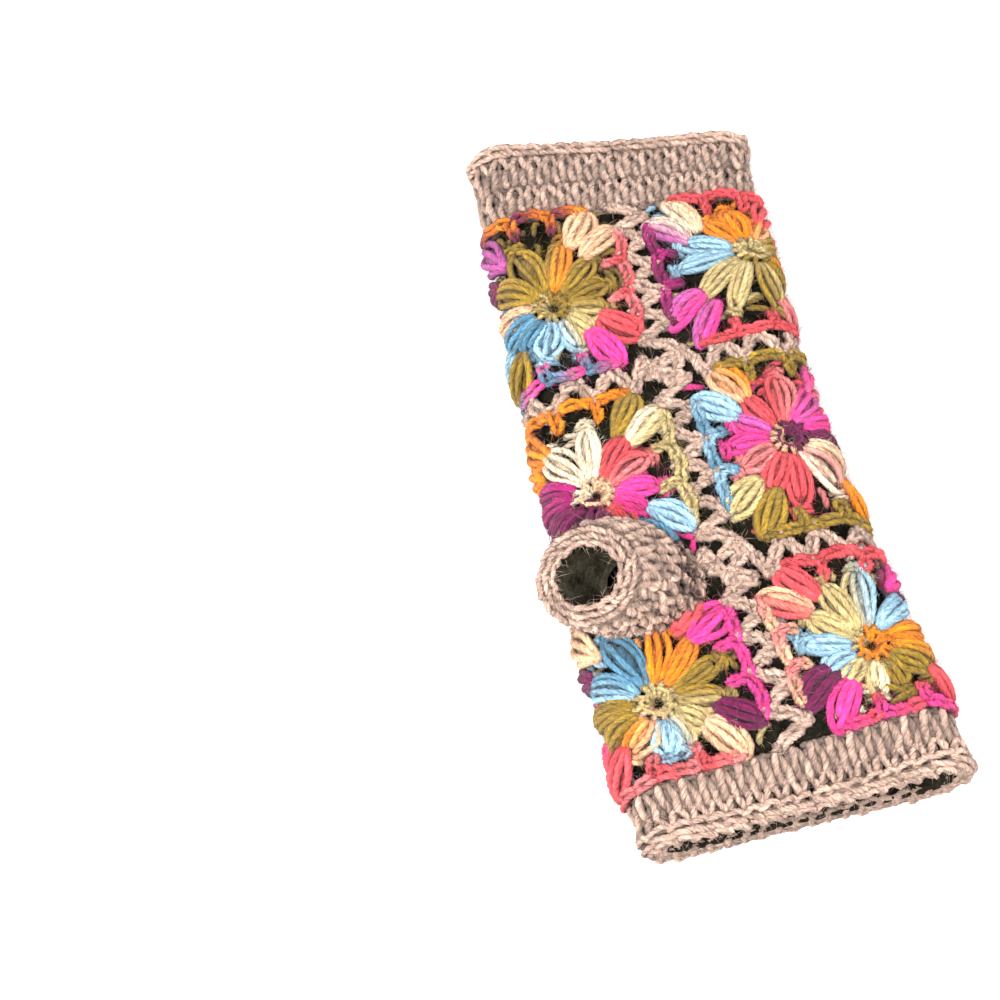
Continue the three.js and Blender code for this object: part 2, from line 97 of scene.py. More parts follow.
def lengths_along(points: np.ndarray) -> np.ndarray:
    """Length of a line up to each of its points."""
    return np.concatenate([[0.0], np.cumsum(np.linalg.norm(np.diff(points, axis=0), axis=1))])


def read_rows(rows: np.ndarray, run: np.ndarray, stops: np.ndarray) -> np.ndarray:
    """Reads every column of a line's rows at given lengths along it.

    Args:
        rows: Rows of the line.
        run: Length up to each row.
        stops: Lengths to read at.

    Returns:
        One row for each stop.
    """
    return np.stack([np.interp(stops, run, column) for column in rows.T], axis=1)


def unit_rows(rows: np.ndarray) -> np.ndarray:
    """Scales each row to a length of 1."""
    return rows / np.maximum(np.linalg.norm(rows, axis=1, keepdims=True), 1e-9)


def add_object(name: str, data: bpy.types.ID) -> bpy.types.Object:
    """Adds an object to the scene.

    Args:
        name: Its name.
        data: Its mesh, curve, light or camera.

    Returns:
        The object.
    """
    made = bpy.data.objects.new(name, data)
    bpy.context.scene.collection.objects.link(made)
    return made


def smooth_path(points: Sequence[Sequence[float]], spacing: float) -> np.ndarray:
    """Runs a smooth line through a few points and samples it evenly.

    Args:
        points: Rows whose first three columns are a place.
        spacing: Distance between samples.

    Returns:
        The samples, with every column of the rows.
    """
    rows = np.asarray(points, dtype=float)
    padded = np.vstack([2 * rows[0] - rows[1], rows, 2 * rows[-1] - rows[-2]])
    before, start, end, after = padded[:-3], padded[1:-2], padded[2:-1], padded[3:]
    part = np.linspace(0.0, 1.0, 7)[:-1, None, None]
    dense = 0.5 * (
        2 * start
        + (end - before) * part
        + (2 * before - 5 * start + 4 * end - after) * part**2
        + (3 * start - before - 3 * end + after) * part**3
    )
    dense = np.vstack([dense.transpose(1, 0, 2).reshape(-1, rows.shape[1]), rows[-1]])
    run = lengths_along(dense[:, :3])
    stops = np.linspace(0.0, run[-1], max(4, int(math.ceil(run[-1] / spacing)) + 1))
    return read_rows(dense, run, stops)


def hermite(table: np.ndarray, key: np.ndarray, at: np.ndarray) -> np.ndarray:
    """Value of a table's column on a smooth curve through its rows.

    Args:
        table: Values of the column.
        key: Where each value holds.
        at: Where to read it.

    Returns:
        The values read.
    """
    low = np.clip(np.searchsorted(key, at, side="right") - 1, 0, len(key) - 2)
    part = np.clip((at - key[low]) / (key[low + 1] - key[low]), 0.0, 1.0)
    before = table[np.maximum(low - 1, 0)]
    after = table[np.minimum(low + 2, len(key) - 1)]
    start, end = table[low], table[low + 1]
    square, cube = part**2, part**3
    return (
        start * (2 * cube - 3 * square + 1)
        + (end - before) / 2 * (cube - 2 * square + part)
        + end * (3 * square - 2 * cube)
        + (after - start) / 2 * (cube - square)
    )


@dataclass
class Tube:
    """The fleece tube that every piece lies over.

    A place on it is a share of the girth from the middle of the top, a course and a lift. Courses run from
    0 at the finger mouth to 5 at the wrist mouth.
    """

    length: float = 257.0
    width: float = 100.0
    body_height: float = 18.0
    crochet_depth: float = 4.4
    side_round: float = 0.2
    net_width: float = 8.4
    seam_gap: float = 0.3
    # left and right end of each course line, as shares of the length
    courses: tuple = (
        (0.0, 0.017),
        (0.060, 0.093),
        (0.300, 0.320),
        (0.575, 0.612),
        (0.867, 0.849),
        (1.0, 0.962),
    )
    # course, width and shift (shares of the width), left and right height and dip (shares of the height)
    sections: tuple = (
        (0.0, 0.99, 0.03, 0.53, 0.80, 0.14),
        (0.5, 1.00, 0.01, 0.74, 0.87, 0.09),
        (1.0, 1.00, -0.01, 0.90, 0.94, 0.05),
        (1.5, 0.985, -0.055, 1.00, 0.98, -0.05),
        (2.0, 0.945, -0.092, 1.00, 0.95, 0.01),
        (2.5, 0.925, -0.112, 1.04, 1.00, -0.07),
        (3.0, 0.905, -0.102, 0.98, 0.95, 0.01),
        (3.5, 0.925, -0.082, 1.02, 1.00, -0.06),
        (4.0, 0.935, -0.052, 0.94, 0.92, 0.02),
        (4.5, 0.955, -0.030, 0.90, 0.86, 0.05),
        (5.0, 0.97, -0.005, 0.84, 0.80, 0.12),
    )
    samples: int = 360
    course_step: float = 0.02
    first_course: float = -0.3
    last_course: float = 5.3
    shift: float = 0.0

    def __post_init__(self) -> None:
        """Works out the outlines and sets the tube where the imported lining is."""
        self.ends = np.array(self.courses)
        table = np.array(self.sections)
        self.stations = np.arange(self.first_course, self.last_course, self.course_step)
        rows = [self._outline(table, station) for station in self.stations]
        self.outline = np.stack([row[0] for row in rows])
        self.girths = np.array([row[1] for row in rows])
        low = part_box("lining")[0]
        within = (self.stations >= 0.0) & (self.stations <= len(self.courses) - 1)
        self.shift = low[0] / MILLIMETRE - self.outline[within, :, 0].min()

    def _outline(self, table: np.ndarray, station: float) -> tuple[np.ndarray, float]:
        """Outline of the tube at a course.

        Args:
            table: The sections.
            station: The course.

        Returns:
            Rows of x, z, sideways and the unit way outwards, evenly spaced by length, and the girth.
        """
        width, shift, left, right, dip = (
            float(hermite(table[:, column], table[:, 0], np.array([station]))[0]) for column in range(1, 6)
        )
        flat = 1 - self.side_round
        quarter = self.side_round * math.pi / 2
        perimeter = 4 * (flat + quarter)
        travel = np.linspace(0, perimeter, self.samples + 1)
        local = np.minimum(travel, perimeter - travel)
        turn = np.clip((local - flat) / self.side_round, 0, math.pi)
        rounded = flat + self.side_round * np.sin(turn)
        below = local > flat + 2 * quarter
        sideways = np.where(local <= flat, local, np.where(below, perimeter / 2 - local, rounded))
        level = 0.5 + 0.5 * np.cos(turn)
        sideways = np.where(travel > perimeter / 2, -sideways, sideways)
        half = self.width / 2 - self.crochet_depth
        x = half * width * sideways + shift * self.width / 2
        height = self.body_height * (left + (right - left) * (sideways + 1) / 2 - dip * (1 - sideways**2))
        z = self.crochet_depth + level * height
        run = np.concatenate([[0.0], np.cumsum(np.hypot(np.diff(x), np.diff(z)))])
        stops = np.linspace(0, run[-1], self.samples + 1)
        x, z, sideways = (np.interp(stops, run, column) for column in (x, z, sideways))
        ahead = np.stack([np.roll(x[:-1], -2) - np.roll(x[:-1], 2), np.roll(z[:-1], -2) - np.roll(z[:-1], 2)])
        ahead = np.concatenate([ahead, ahead[:, :1]], axis=1)
        ahead /= np.linalg.norm(ahead, axis=0)
        return np.stack([x, z, sideways, -ahead[1], ahead[0]], axis=1), float(run[-1])

    def course_place(self, course: np.ndarray, side: np.ndarray) -> np.ndarray:
        """Place of a course along Y.

        Args:
            course: Courses.
            side: Where on the course's line, from 0 at the left to 1 at the right.

        Returns:
            The places in millimetres.
        """
        low = np.clip(np.floor(course).astype(int), 0, len(self.ends) - 2)
        part = (course - low)[..., None]
        both = self.ends[low] * (1 - part) + self.ends[low + 1] * part
        return (both[..., 0] * (1 - side) + both[..., 1] * side - 0.5) * self.length

    def course_after(self, course: float, distance: np.ndarray) -> np.ndarray:
        """Course that lies a distance past another one on the middle line.

        Args:
            course: The course to start from.
            distance: Distances in millimetres, below 0 towards the fingers.

        Returns:
            The courses.
        """
        forward = np.asarray(distance) >= 0
        low = np.where(forward, math.floor(course), math.ceil(course) - 1)
        bounded = np.clip(low, 0, len(self.ends) - 2).astype(float)
        middle = np.full_like(bounded, 0.5)
        long = self.course_place(bounded + 1, middle) - self.course_place(bounded + 1e-9, middle)
        return course + distance / long

    def girth_at(self, course: float) -> float:
        """Length round the tube at a course."""
        return float(np.interp(course, self.stations, self.girths))

    def place(self, girth: np.ndarray, course: np.ndarray, lift: np.ndarray) -> np.ndarray:
        """Points over the tube.

        Args:
            girth: Shares of the girth from the middle of the top.
            course: Courses.
            lift: Distances outwards.

        Returns:
            Rows of x, y and z in millimetres.
        """
        row = np.clip((course - self.first_course) / self.course_step, 0, len(self.stations) - 1.001)
        column = (girth % 1.0) * self.samples
        low, left = row.astype(int), np.minimum(column.astype(int), self.samples - 1)
        down, right = (row - low)[:, None], (column - left)[:, None]
        grid = self.outline
        mixed = (grid[low, left] * (1 - right) + grid[low, left + 1] * right) * (1 - down)
        mixed = mixed + (grid[low + 1, left] * (1 - right) + grid[low + 1, left + 1] * right) * down
        x = mixed[:, 0] + mixed[:, 3] * lift + self.shift
        z = mixed[:, 1] + mixed[:, 4] * lift
        return np.stack([x, self.course_place(course, (mixed[:, 2] + 1) / 2), z], axis=1)


@dataclass
class SquareGround:
    """Flat ground of one flower square, in millimetres from its middle."""

    tube: Tube
    girth: float
    course: int
    first: bool
    last: bool
    columns: int = 3

    def __post_init__(self) -> None:
        """Works out the square's half sizes."""
        tube = self.tube
        self.pitch = tube.girth_at(self.course + 0.5) / self.columns
        ends = tube.course_place(np.array([self.course, self.course + 1.0 - 1e-9]), np.array([0.5, 0.5]))
        self.length = float(ends[1] - ends[0])
        low = tube.seam_gap if self.first else tube.net_width / 2 + tube.seam_gap
        high = tube.seam_gap if self.last else tube.net_width / 2 + tube.seam_gap
        self.across = (self.pitch - tube.net_width) / 2 - tube.seam_gap
        self.along = (self.length - low - high) / 2
        self.offset = (low - high) / 2

    def lay(self, flat: np.ndarray) -> np.ndarray:
        """Lays flat points over the tube.

        Args:
            flat: Rows of across, along and lift.

        Returns:
            Rows of x, y and z in millimetres.
        """
        girth = self.girth + flat[:, 0] / self.pitch / self.columns
        course = self.course + 0.5 + (flat[:, 1] + self.offset) / self.length
        return self.tube.place(girth, course, flat[:, 2])


@dataclass
class RoundGround:
    """Flat ground that runs round the tube at a course: x is the way round, y the way along."""

    tube: Tube
    course: float
    girth: float = 0.0
    reference: float | None = None

    def __post_init__(self) -> None:
        """Works out the way round."""
        self.around = self.tube.girth_at(self.course if self.reference is None else self.reference)

    def lay(self, flat: np.ndarray) -> np.ndarray:
        """Lays flat points, rows of across, along and lift, over the tube."""
        girth = self.girth + flat[:, 0] / self.around
        return self.tube.place(girth, self.tube.course_after(self.course, flat[:, 1]), flat[:, 2])


@dataclass
class ThumbGround:
    """Ground of the thumb sleeve: x is the way round, y the way along, z the lift off its fleece."""

    tube: Tube
    reach: float = 21.0
    forward: float = 5.0
    rise: float = 23.0
    bore: float = 20.4
    lining_wall: float = 1.8
    wall: float = 4.4
    gap: float = 0.4
    root_girth: float = -0.1245
    root_course: float = 2.0
    bend: tuple[float, float, float] = (0.52, 0.30, 0.66)
    # share along, share of the outer radius, lean to the left, pitch to the fingers
    sections: tuple = (
        (0.0, 1.0, 0.0, 0.0),
        (0.3, 1.06, 0.62, 0.08),
        (0.65, 1.02, 0.66, 0.22),
        (1.0, 0.88, 0.5, 0.38),
    )
    blend_to: float = 0.3
    root_lift: float = 1.2
    root_room: float = 3.0

    def __post_init__(self) -> None:
        """Works out the radii and the sleeve's middle line."""
        self.inner = self.bore / 2 + self.lining_wall + self.gap
        self.outer = self.inner + self.wall
        self.table = np.array(self.sections)
        root = self.tube.place(np.array([self.root_girth]), np.array([self.root_course]), np.zeros(1))[0]
        way = np.array([-self.reach, -self.forward, self.rise])
        self.line = np.stack([root, root + way * np.array(self.bend), root + way])
        self.around = 2 * math.pi * self.outer
        run = np.diff(self.middle(np.linspace(0.0, 1.0, 20)), axis=0)
        self.long = float(np.linalg.norm(run, axis=1).sum())

    def middle(self, share: np.ndarray) -> np.ndarray:
        """Middle line of the sleeve at shares of its length."""
        part = share[:, None]
        return (1 - part) ** 2 * self.line[0] + 2 * part * (1 - part) * self.line[1] + part**2 * self.line[2]

    def lay(self, flat: np.ndarray) -> np.ndarray:
        """Lays points over the sleeve's fleece, with its root spread over the tube.

        Args:
            flat: Rows of the way round, the way along and the lift.

        Returns:
            Rows of x, y and z in millimetres.
        """
        turn, share, lift = flat[:, 0] / self.outer, flat[:, 1] / self.long, flat[:, 2]
        bounded = np.clip(share, 0.0, 1.0)
        outer = self.outer * hermite(self.table[:, 1], self.table[:, 0], bounded)
        radius = self.inner + lift / self.wall * np.where(lift > 0, outer - self.inner, self.wall)
        lean = hermite(self.table[:, 2], self.table[:, 0], bounded)
        pitch = hermite(self.table[:, 3], self.table[:, 0], bounded)
        facing = np.stack([-lean, -pitch, np.ones_like(lean)], axis=1)
        facing /= np.linalg.norm(facing, axis=1, keepdims=True)
        across = np.cross(np.array([0.0, 1.0, 0.0]), facing)
        across /= np.linalg.norm(across, axis=1, keepdims=True)
        up = np.cross(facing, across)
        ring = across * (radius * np.cos(turn))[:, None] + up * (radius * np.sin(turn))[:, None]
        beyond = (share - bounded)[:, None] * np.linalg.norm(self.line[2] - self.line[0]) * facing
        standing = self.middle(bounded) + ring + beyond
        girth = self.root_girth + radius * np.cos(turn) / self.tube.girth_at(self.root_course)
        course = self.tube.course_after(self.root_course, radius * np.sin(turn))
        lying = self.tube.place(girth, course, np.full_like(radius, self.root_lift))
        weight = eased(np.clip(share / self.blend_to, 0, 1)[:, None])
        return lying * (1 - weight) + standing * weight

    def holds(self, points: np.ndarray, margin: float) -> np.ndarray:
        """Says which points lie in the sleeve's room.

        Args:
            points: Rows of x, y and z in millimetres.
            margin: How far the room reaches from the sleeve's middle line.

        Returns:
            True for each point inside.
        """
        stops = self.middle(np.linspace(0.0, 1.0, 14))
        stops = np.vstack([stops[0] - np.array([0.0, 0.0, self.root_room]), stops])
        away = np.linalg.norm(points[:, None, :] - stops[None], axis=2).min(axis=1)
        return away < margin


@dataclass
class Strand:
    """One strand of wool, in metres."""

    points: np.ndarray
    outward: np.ndarray
    radius: np.ndarray
    tilt: np.ndarray
    # dye colour times the strand's painted shade and random tone
    colour: np.ndarray
    along: np.ndarray
    plied: bool = True


@dataclass
class YarnSize:
    """Sizes that all the wool shares, in millimetres."""

    spacing: float = 1.15
    sleeve_room: float = 0.6
    fewest_points: int = 4
    floor_gap: float = 0.05
    thinnest: float = 0.2
    ply_pitch: float = 6.5
    ply_depth: float = 0.13
    soft_pitch: float = 16.0
    soft_depth: float = 0.05
    sides: int = 6
    hair_radius: float = 0.055
    hair_length: float = 3.8
    hair_sides: int = 3
    floor_share: float = 1.2
    weld: float = 0.0002
    strand_contrast: float = 0.2
    # Painted shade: strand colour darkens to deep_shade at deep_lift or lower and reaches full brightness at
    # high_lift; the side that faces into the work darkens to under_shade, fading out between lit_from and
    # lit_to.
    deep_shade: float = 0.36
    deep_lift: float = 0.6
    high_lift: float = 3.6
    under_shade: float = 0.14
    lit_from: float = -0.5
    lit_to: float = 0.8
    soft_mark: float = 3.0


class Basket:
    """Collects the strands of one piece and weaves them into its mesh."""

    def __init__(
        self,
        name: str,
        seed: int,
        keep_off: ThumbGround | None = None,
        size: YarnSize | None = None,
    ) -> None:
        """Starts an empty basket.

        Args:
            name: Name of the piece.
            seed: Seed of its unevenness.
            keep_off: A thumb sleeve whose room stays free of strands.
            size: Sizes of the wool.
        """
        self.name = name
        self.random = np.random.default_rng(seed)
        self.keep_off = keep_off
        self.size = size or YarnSize()
        self.strands: list[Strand] = []
        self.hairs: list[Strand] = []

    def lay(
        self,
        ground: Any,
        path: np.ndarray,
        radius: float | np.ndarray,
        dyes: Dyes,
        taper: float = 1.2,
        painted_shade: float = 1.0,
        spacing: float | None = None,
        plied: bool = True,
    ) -> None:
        """Lays one strand over a ground.

        Args:
            ground: Ground whose lay method places flat points.
            path: Rows of across, along, lift and, optionally, how far the second dye has come in.
            radius: Radius of the strand, or its radii at even steps.
            dyes: First and second dye.
            taper: Length over which each end thins out.
            painted_shade: Painted shade of the strand, a brightness that darkens strands lying under or
                behind others.
            spacing: Distance between samples.
            plied: Whether its two plies show.
        """
        size = self.size
        rows = smooth_path(path, spacing or size.spacing)
        points = ground.lay(rows[:, :3])
        above = ground.lay(rows[:, :3] + np.array([0.0, 0.0, 1.0]))
        if self.keep_off is not None:
            inside = self.keep_off.holds(points, self.keep_off.outer - size.sleeve_room)
            if inside.all():
                return
            if inside.any():
                outside = np.flatnonzero(~inside)
                runs = np.split(outside, np.flatnonzero(np.diff(outside) > 1) + 1)
                kept = max(runs, key=len)
                if len(kept) < size.fewest_points:
                    return
                rows, points, above = rows[kept], points[kept], above[kept]
        run = lengths_along(points)
        ends = np.minimum(run, run[-1] - run)
        steps = np.linspace(0, 1, np.size(radius))
        bare = np.interp(np.linspace(0, 1, len(run)), steps, np.atleast_1d(radius))
        radii = bare * np.clip(ends / taper, 0.0, 1.0) ** 0.5
        radii[[0, -1]] = size.weld / 4
        lowest = np.maximum(radii, size.thinnest) * size.floor_share + size.floor_gap
        points[:, 2] = np.maximum(points[:, 2], lowest)
        outward = unit_rows(above - ground.lay(rows[:, :3]))
        mix = rows[:, 3:4] if rows.shape[1] > 3 else np.zeros((len(rows), 1))
        mix = eased(np.clip(mix, 0.0, 1.0))
        colour = dyes[0].linear() * (1 - mix) + dyes[1].linear() * mix
        # Painted shade: the strand darkens the lower it lies over the fleece and by its own painted-shade
        # factor; the last factor is each strand's random tone.
        depth = np.clip((rows[:, 2:3] - size.deep_lift) / (size.high_lift - size.deep_lift), 0.0, 1.0)
        depth = size.deep_shade + (1.0 - size.deep_shade) * eased(depth)
        colour = colour * depth * painted_shade * (1.0 + self.random.uniform(-1.0, 1.0) * size.strand_contrast)
        pitch = size.ply_pitch if plied else size.soft_pitch
        self.strands.append(
            Strand(
                points=points * MILLIMETRE,
                outward=outward,
                radius=radii * MILLIMETRE,
                tilt=run / pitch * 2 * math.pi + self.random.uniform(0, 2 * math.pi),
                colour=np.clip(colour, 0.0, 1.0),
                along=run + self.random.uniform(0, 400),
                plied=plied,
            )
        )

    def fray(self, count: int) -> None:
        """Adds stray fibres that stand off the strands.

        Args:
            count: Number of fibres.
        """
        weights = np.array([len(strand.points) for strand in self.strands], dtype=float)
        chosen = self.random.choice(len(self.strands), size=count, p=weights / weights.sum())
        for index in chosen:
            strand = self.strands[index]
            at = int(self.random.integers(1, len(strand.points) - 1))
            forward = strand.points[at + 1] - strand.points[at - 1]
            forward = forward / max(float(np.linalg.norm(forward)), 1e-9)
            outward = strand.outward[at]
            sideways = np.cross(forward, outward)
            spin = self.random.uniform(-1.4, 1.4)
            stand = outward * math.cos(spin) + sideways * math.sin(spin)
            root = strand.points[at] + stand * strand.radius[at] * 0.8
            length = self.size.hair_length * MILLIMETRE * self.random.uniform(0.35, 1.3)
            way = forward * self.random.choice((-1.0, 1.0)) + stand * self.random.uniform(0.1, 0.6)
            way = way + self.random.normal(0, 0.5, 3)
            way /= np.linalg.norm(way)
            bend = self.random.normal(0, 0.35, 3) - outward * 0.25
            part = np.array([0.0, 0.5, 1.0])[:, None]
            points = root + way * length * part + bend * length * part**2
            points[:, 2] = np.maximum(points[:, 2], 0.0002)
            radius = self.size.hair_radius * MILLIMETRE * np.array([0.0, 1.0, 0.0]) + 1e-8
            colour = np.clip(strand.colour[at] * self.random.uniform(0.9, 1.4) + 0.015, 0, 1)
            level = np.zeros(len(points))
            outwards = np.tile(outward, (len(points), 1))
            colours = np.tile(colour, (len(points), 1))
            self.hairs.append(Strand(points, outwards, radius, level, colours, level))

    def _sweep(self, strands: list[Strand], sides: int, depth: float) -> bpy.types.Mesh:
        """Sweeps a ply's section along strands.

        Args:
            strands: The strands.
            sides: Corners of the section.
            depth: Depth of the groove between the plies, as a share of the radius.

        Returns:
            A mesh with the dye, darkened by painted shade, and the fibre direction on its points.
        """
        turns = np.arange(sides) / sides * 2 * math.pi
        section = self._section(turns, depth)
        curve = bpy.data.curves.new("strands", "CURVE")
        curve.dimensions = "3D"
        curve.twist_mode = "MINIMUM"
        curve.bevel_mode = "OBJECT"
        curve.bevel_object = section
        for strand in strands:
            spline = curve.splines.new("POLY")
            spline.points.add(len(strand.points) - 1)
            weights = np.ones((len(strand.points), 1))
            spline.points.foreach_set("co", np.hstack([strand.points, weights]).ravel())
            spline.points.foreach_set("radius", strand.radius)
            spline.points.foreach_set("tilt", strand.tilt)
        swept = add_object("strands", curve)
        graph = bpy.context.evaluated_depsgraph_get()
        mesh = bpy.data.meshes.new_from_object(swept.evaluated_get(graph))
        self._dye(mesh, strands, sides, shaded=depth > 0.0)
        self._mark_fibres(mesh, strands, turns)
        for leftover in (swept, section):
            bpy.data.objects.remove(leftover)
        return mesh

    def _section(self, turns: np.ndarray, depth: float) -> bpy.types.Object:
        """Draws the section of a strand, round but for the grooves between its two plies.

        Args:
            turns: Angles of its corners.
            depth: Depth of the grooves, as a share of the radius.

        Returns:
            The section's curve object.
        """
        rim = 1 + depth * np.cos(2 * turns)
        section = bpy.data.curves.new("section", "CURVE")
        section.dimensions = "2D"
        outline = section.splines.new("POLY")
        outline.points.add(len(turns) - 1)
        corners = np.stack([rim * np.cos(turns), rim * np.sin(turns), turns * 0, turns * 0 + 1], axis=1)
        outline.points.foreach_set("co", corners.ravel())
        outline.use_cyclic_u = True
        return add_object("section", section)

    def _dye(self, mesh: bpy.types.Mesh, strands: list[Strand], sides: int, shaded: bool) -> None:
        """Dyes swept strands and darkens them with painted shade on the side that faces into the work.

        Args:
            mesh: The swept mesh.
            strands: The strands, in the mesh's order.
            sides: Corners of the section.
            shaded: Whether painted shade darkens the inner side.
        """
        size = self.size
        colour = np.concatenate([strand.colour for strand in strands])
        colour = np.repeat(np.hstack([colour, np.ones((len(colour), 1))]), sides, axis=0)
        # Painted shade: corners of the section that face away from the outside are darkened, down to
        # under_shade on the inner side.
        if shaded:
            centres = np.repeat(np.concatenate([strand.points for strand in strands]), sides, axis=0)
            outward = np.repeat(np.concatenate([strand.outward for strand in strands]), sides, axis=0)
            corners = np.empty(len(mesh.vertices) * 3, dtype=np.float32)
            mesh.vertices.foreach_get("co", corners)
            spoke = unit_rows(corners.reshape(-1, 3) - centres)
            facing = (spoke * outward).sum(axis=1, keepdims=True) - size.lit_from
            facing = np.clip(facing / (size.lit_to - size.lit_from), 0.0, 1.0)
            colour[:, :3] *= size.under_shade + (1.0 - size.under_shade) * eased(facing)
        # The dye attribute holds the dye times the painted shade.
        dye = mesh.attributes.new("dye", "FLOAT_COLOR", "POINT")
        dye.data.foreach_set("color", colour.astype(np.float32).ravel())

    def _mark_fibres(self, mesh: bpy.types.Mesh, strands: list[Strand], turns: np.ndarray) -> None:
        """Marks each point with its way along the strand and round it, for the wool's finish.

        Args:
            mesh: The swept mesh.
            strands: The strands, in the mesh's order.
            turns: Angles of the section's corners.
        """
        sides = len(turns)
        along = np.concatenate([strand.along for strand in strands])
        marks = [
            np.full(len(strand.along), 0.0 if strand.plied else self.size.soft_mark)
            for strand in strands
        ]
        across = np.tile(np.cos(turns), len(along)) + np.repeat(np.concatenate(marks), sides)
        up = np.tile(np.sin(turns), len(along))
        rows = np.stack([np.repeat(along, sides), across, up], axis=1)
        fibre = mesh.attributes.new("fibre", "FLOAT_VECTOR", "POINT")
        fibre.data.foreach_set("vector", rows.astype(np.float32).ravel())

    def weave(self, finish: bpy.types.Material) -> bpy.types.Object:
        """Makes the piece.

        Args:
            finish: Its material.

        Returns:
            The piece's object.
        """
        built = bmesh.new()
        plied = [strand for strand in self.strands if strand.plied]
        soft = [strand for strand in self.strands if not strand.plied]
        for strands, depth in ((plied, self.size.ply_depth), (soft, self.size.soft_depth)):
            if strands:
                built.from_mesh(self._sweep(strands, self.size.sides, depth))
        if self.hairs:
            built.from_mesh(self._sweep(self.hairs, self.size.hair_sides, 0.0))
        bmesh.ops.remove_doubles(built, verts=built.verts, dist=self.size.weld * MILLIMETRE)
        bmesh.ops.recalc_face_normals(built, faces=built.faces)
        mesh = bpy.data.meshes.new(self.name)
        built.to_mesh(mesh)
        built.free()
        mesh.materials.clear()
        mesh.materials.append(finish)
        mesh.shade_smooth()
        return add_object(self.name, mesh)


@dataclass
class Puff:
    """A leaf-shaped cluster of fat strands."""

    half_width: float
    height: float
    base: float = 1.2
    strand_radius: float = 1.15
    loops: int = 1
    core_share: float = 0.6
    point: float = 0.5
    centres: tuple[float, ...] = (-0.34, 0.34)

    def work(
        self, basket: Basket, ground: Any, start: np.ndarray, end: np.ndarray, dyes: Dyes, style: PuffStyle
    ) -> None:
        """Works the puff between two flat points.

        Args:
            basket: Basket that takes the strands.
            ground: Ground that it lies on.
            start: Inner end.
            end: Outer end.
            dyes: Its dyes, from one side to the other.
            style: How its strands lie.
        """
        random = basket.random
        way = end - start
        long = float(np.linalg.norm(way))
        way = way / long
        side = np.array([way[1], -way[0]])
        wide = self.half_width * random.uniform(0.85, 1.12) - self.strand_radius
        bend = random.uniform(-1.3, 1.3)

        def row(x: float, s: float, drop: float = 0.0) -> list[float]:
            """One place of a strand.

            Args:
                x: Place across the puff.
                s: Place along the puff.
                drop: How far it lies below the puff's crown.

            Returns:
                Across, along, lift and the share of the second dye.
            """
            share = min(max(s / long, 0.0), 1.0)
            dome = 1 - 0.55 * (x / self.half_width) ** 2
            arch = (0.10 + 0.90 * math.sin(math.pi * share)) ** 0.6
            place = start + way * s + side * (x + bend * math.sin(math.pi * share))
            return [*place, self.base + self.height * dome * arch - drop, 0.5 + 0.5 * x / wide]

        for loop in range(self.loops):
            half = wide * (1 - loop / self.loops) * random.uniform(0.95, 1.05)
            if style is PuffStyle.LOOPED:
                reach = long * (1 - 0.10 * loop) * random.uniform(0.97, 1.02)
                turns = np.linspace(0.14, 2 * math.pi - 0.14, 15)
                path = [
                    row(half * math.sin(t) * math.sin(t / 2) ** self.point, reach / 2 * (1 - math.cos(t)))
                    for t in turns
                ]
                basket.lay(ground, path, self.strand_radius * random.uniform(0.92, 1.08), dyes, plied=False)
            else:
                for hand in (-1, 1):
                    bow = random.uniform(0.88, 1.06)
                    rise = random.uniform(-0.35, 0.35)
                    parts = np.linspace(0.0, 1.0, 8)
                    path = [
                        row(hand * half * bow * math.sin(math.pi * p**1.25) ** 0.75, long * p, rise)
                        for p in parts
                    ]
                    radius = self.strand_radius * random.uniform(0.92, 1.1)
                    basket.lay(ground, path, radius, dyes, plied=False)
        for centre in self.centres:
            sway = centre * wide * random.uniform(0.7, 1.3)
            reach = random.uniform(0.84, 1.0)
            drop = random.uniform(-0.7, 0.1)
            parts = np.linspace(0.02, reach, 8)
            path = [row(sway * math.sin(math.pi * p) ** 0.7, long * p, drop) for p in parts]
            basket.lay(ground, path, self.strand_radius * random.uniform(0.9, 1.08), dyes, plied=False)
        swell = np.sin(np.linspace(0.06, 0.94, 9) * math.pi) ** 0.7 * self.half_width * self.core_share
        rise = self.base + 0.30 * self.height
        path = [[*(start + way * long * p), rise, 0.5] for p in np.linspace(0.06, 0.92, 7)]
        # The core lies under the puff's strands and is darkened by painted shade.
        basket.lay(ground, path, swell, dyes, painted_shade=0.6, spacing=2.4, plied=False)


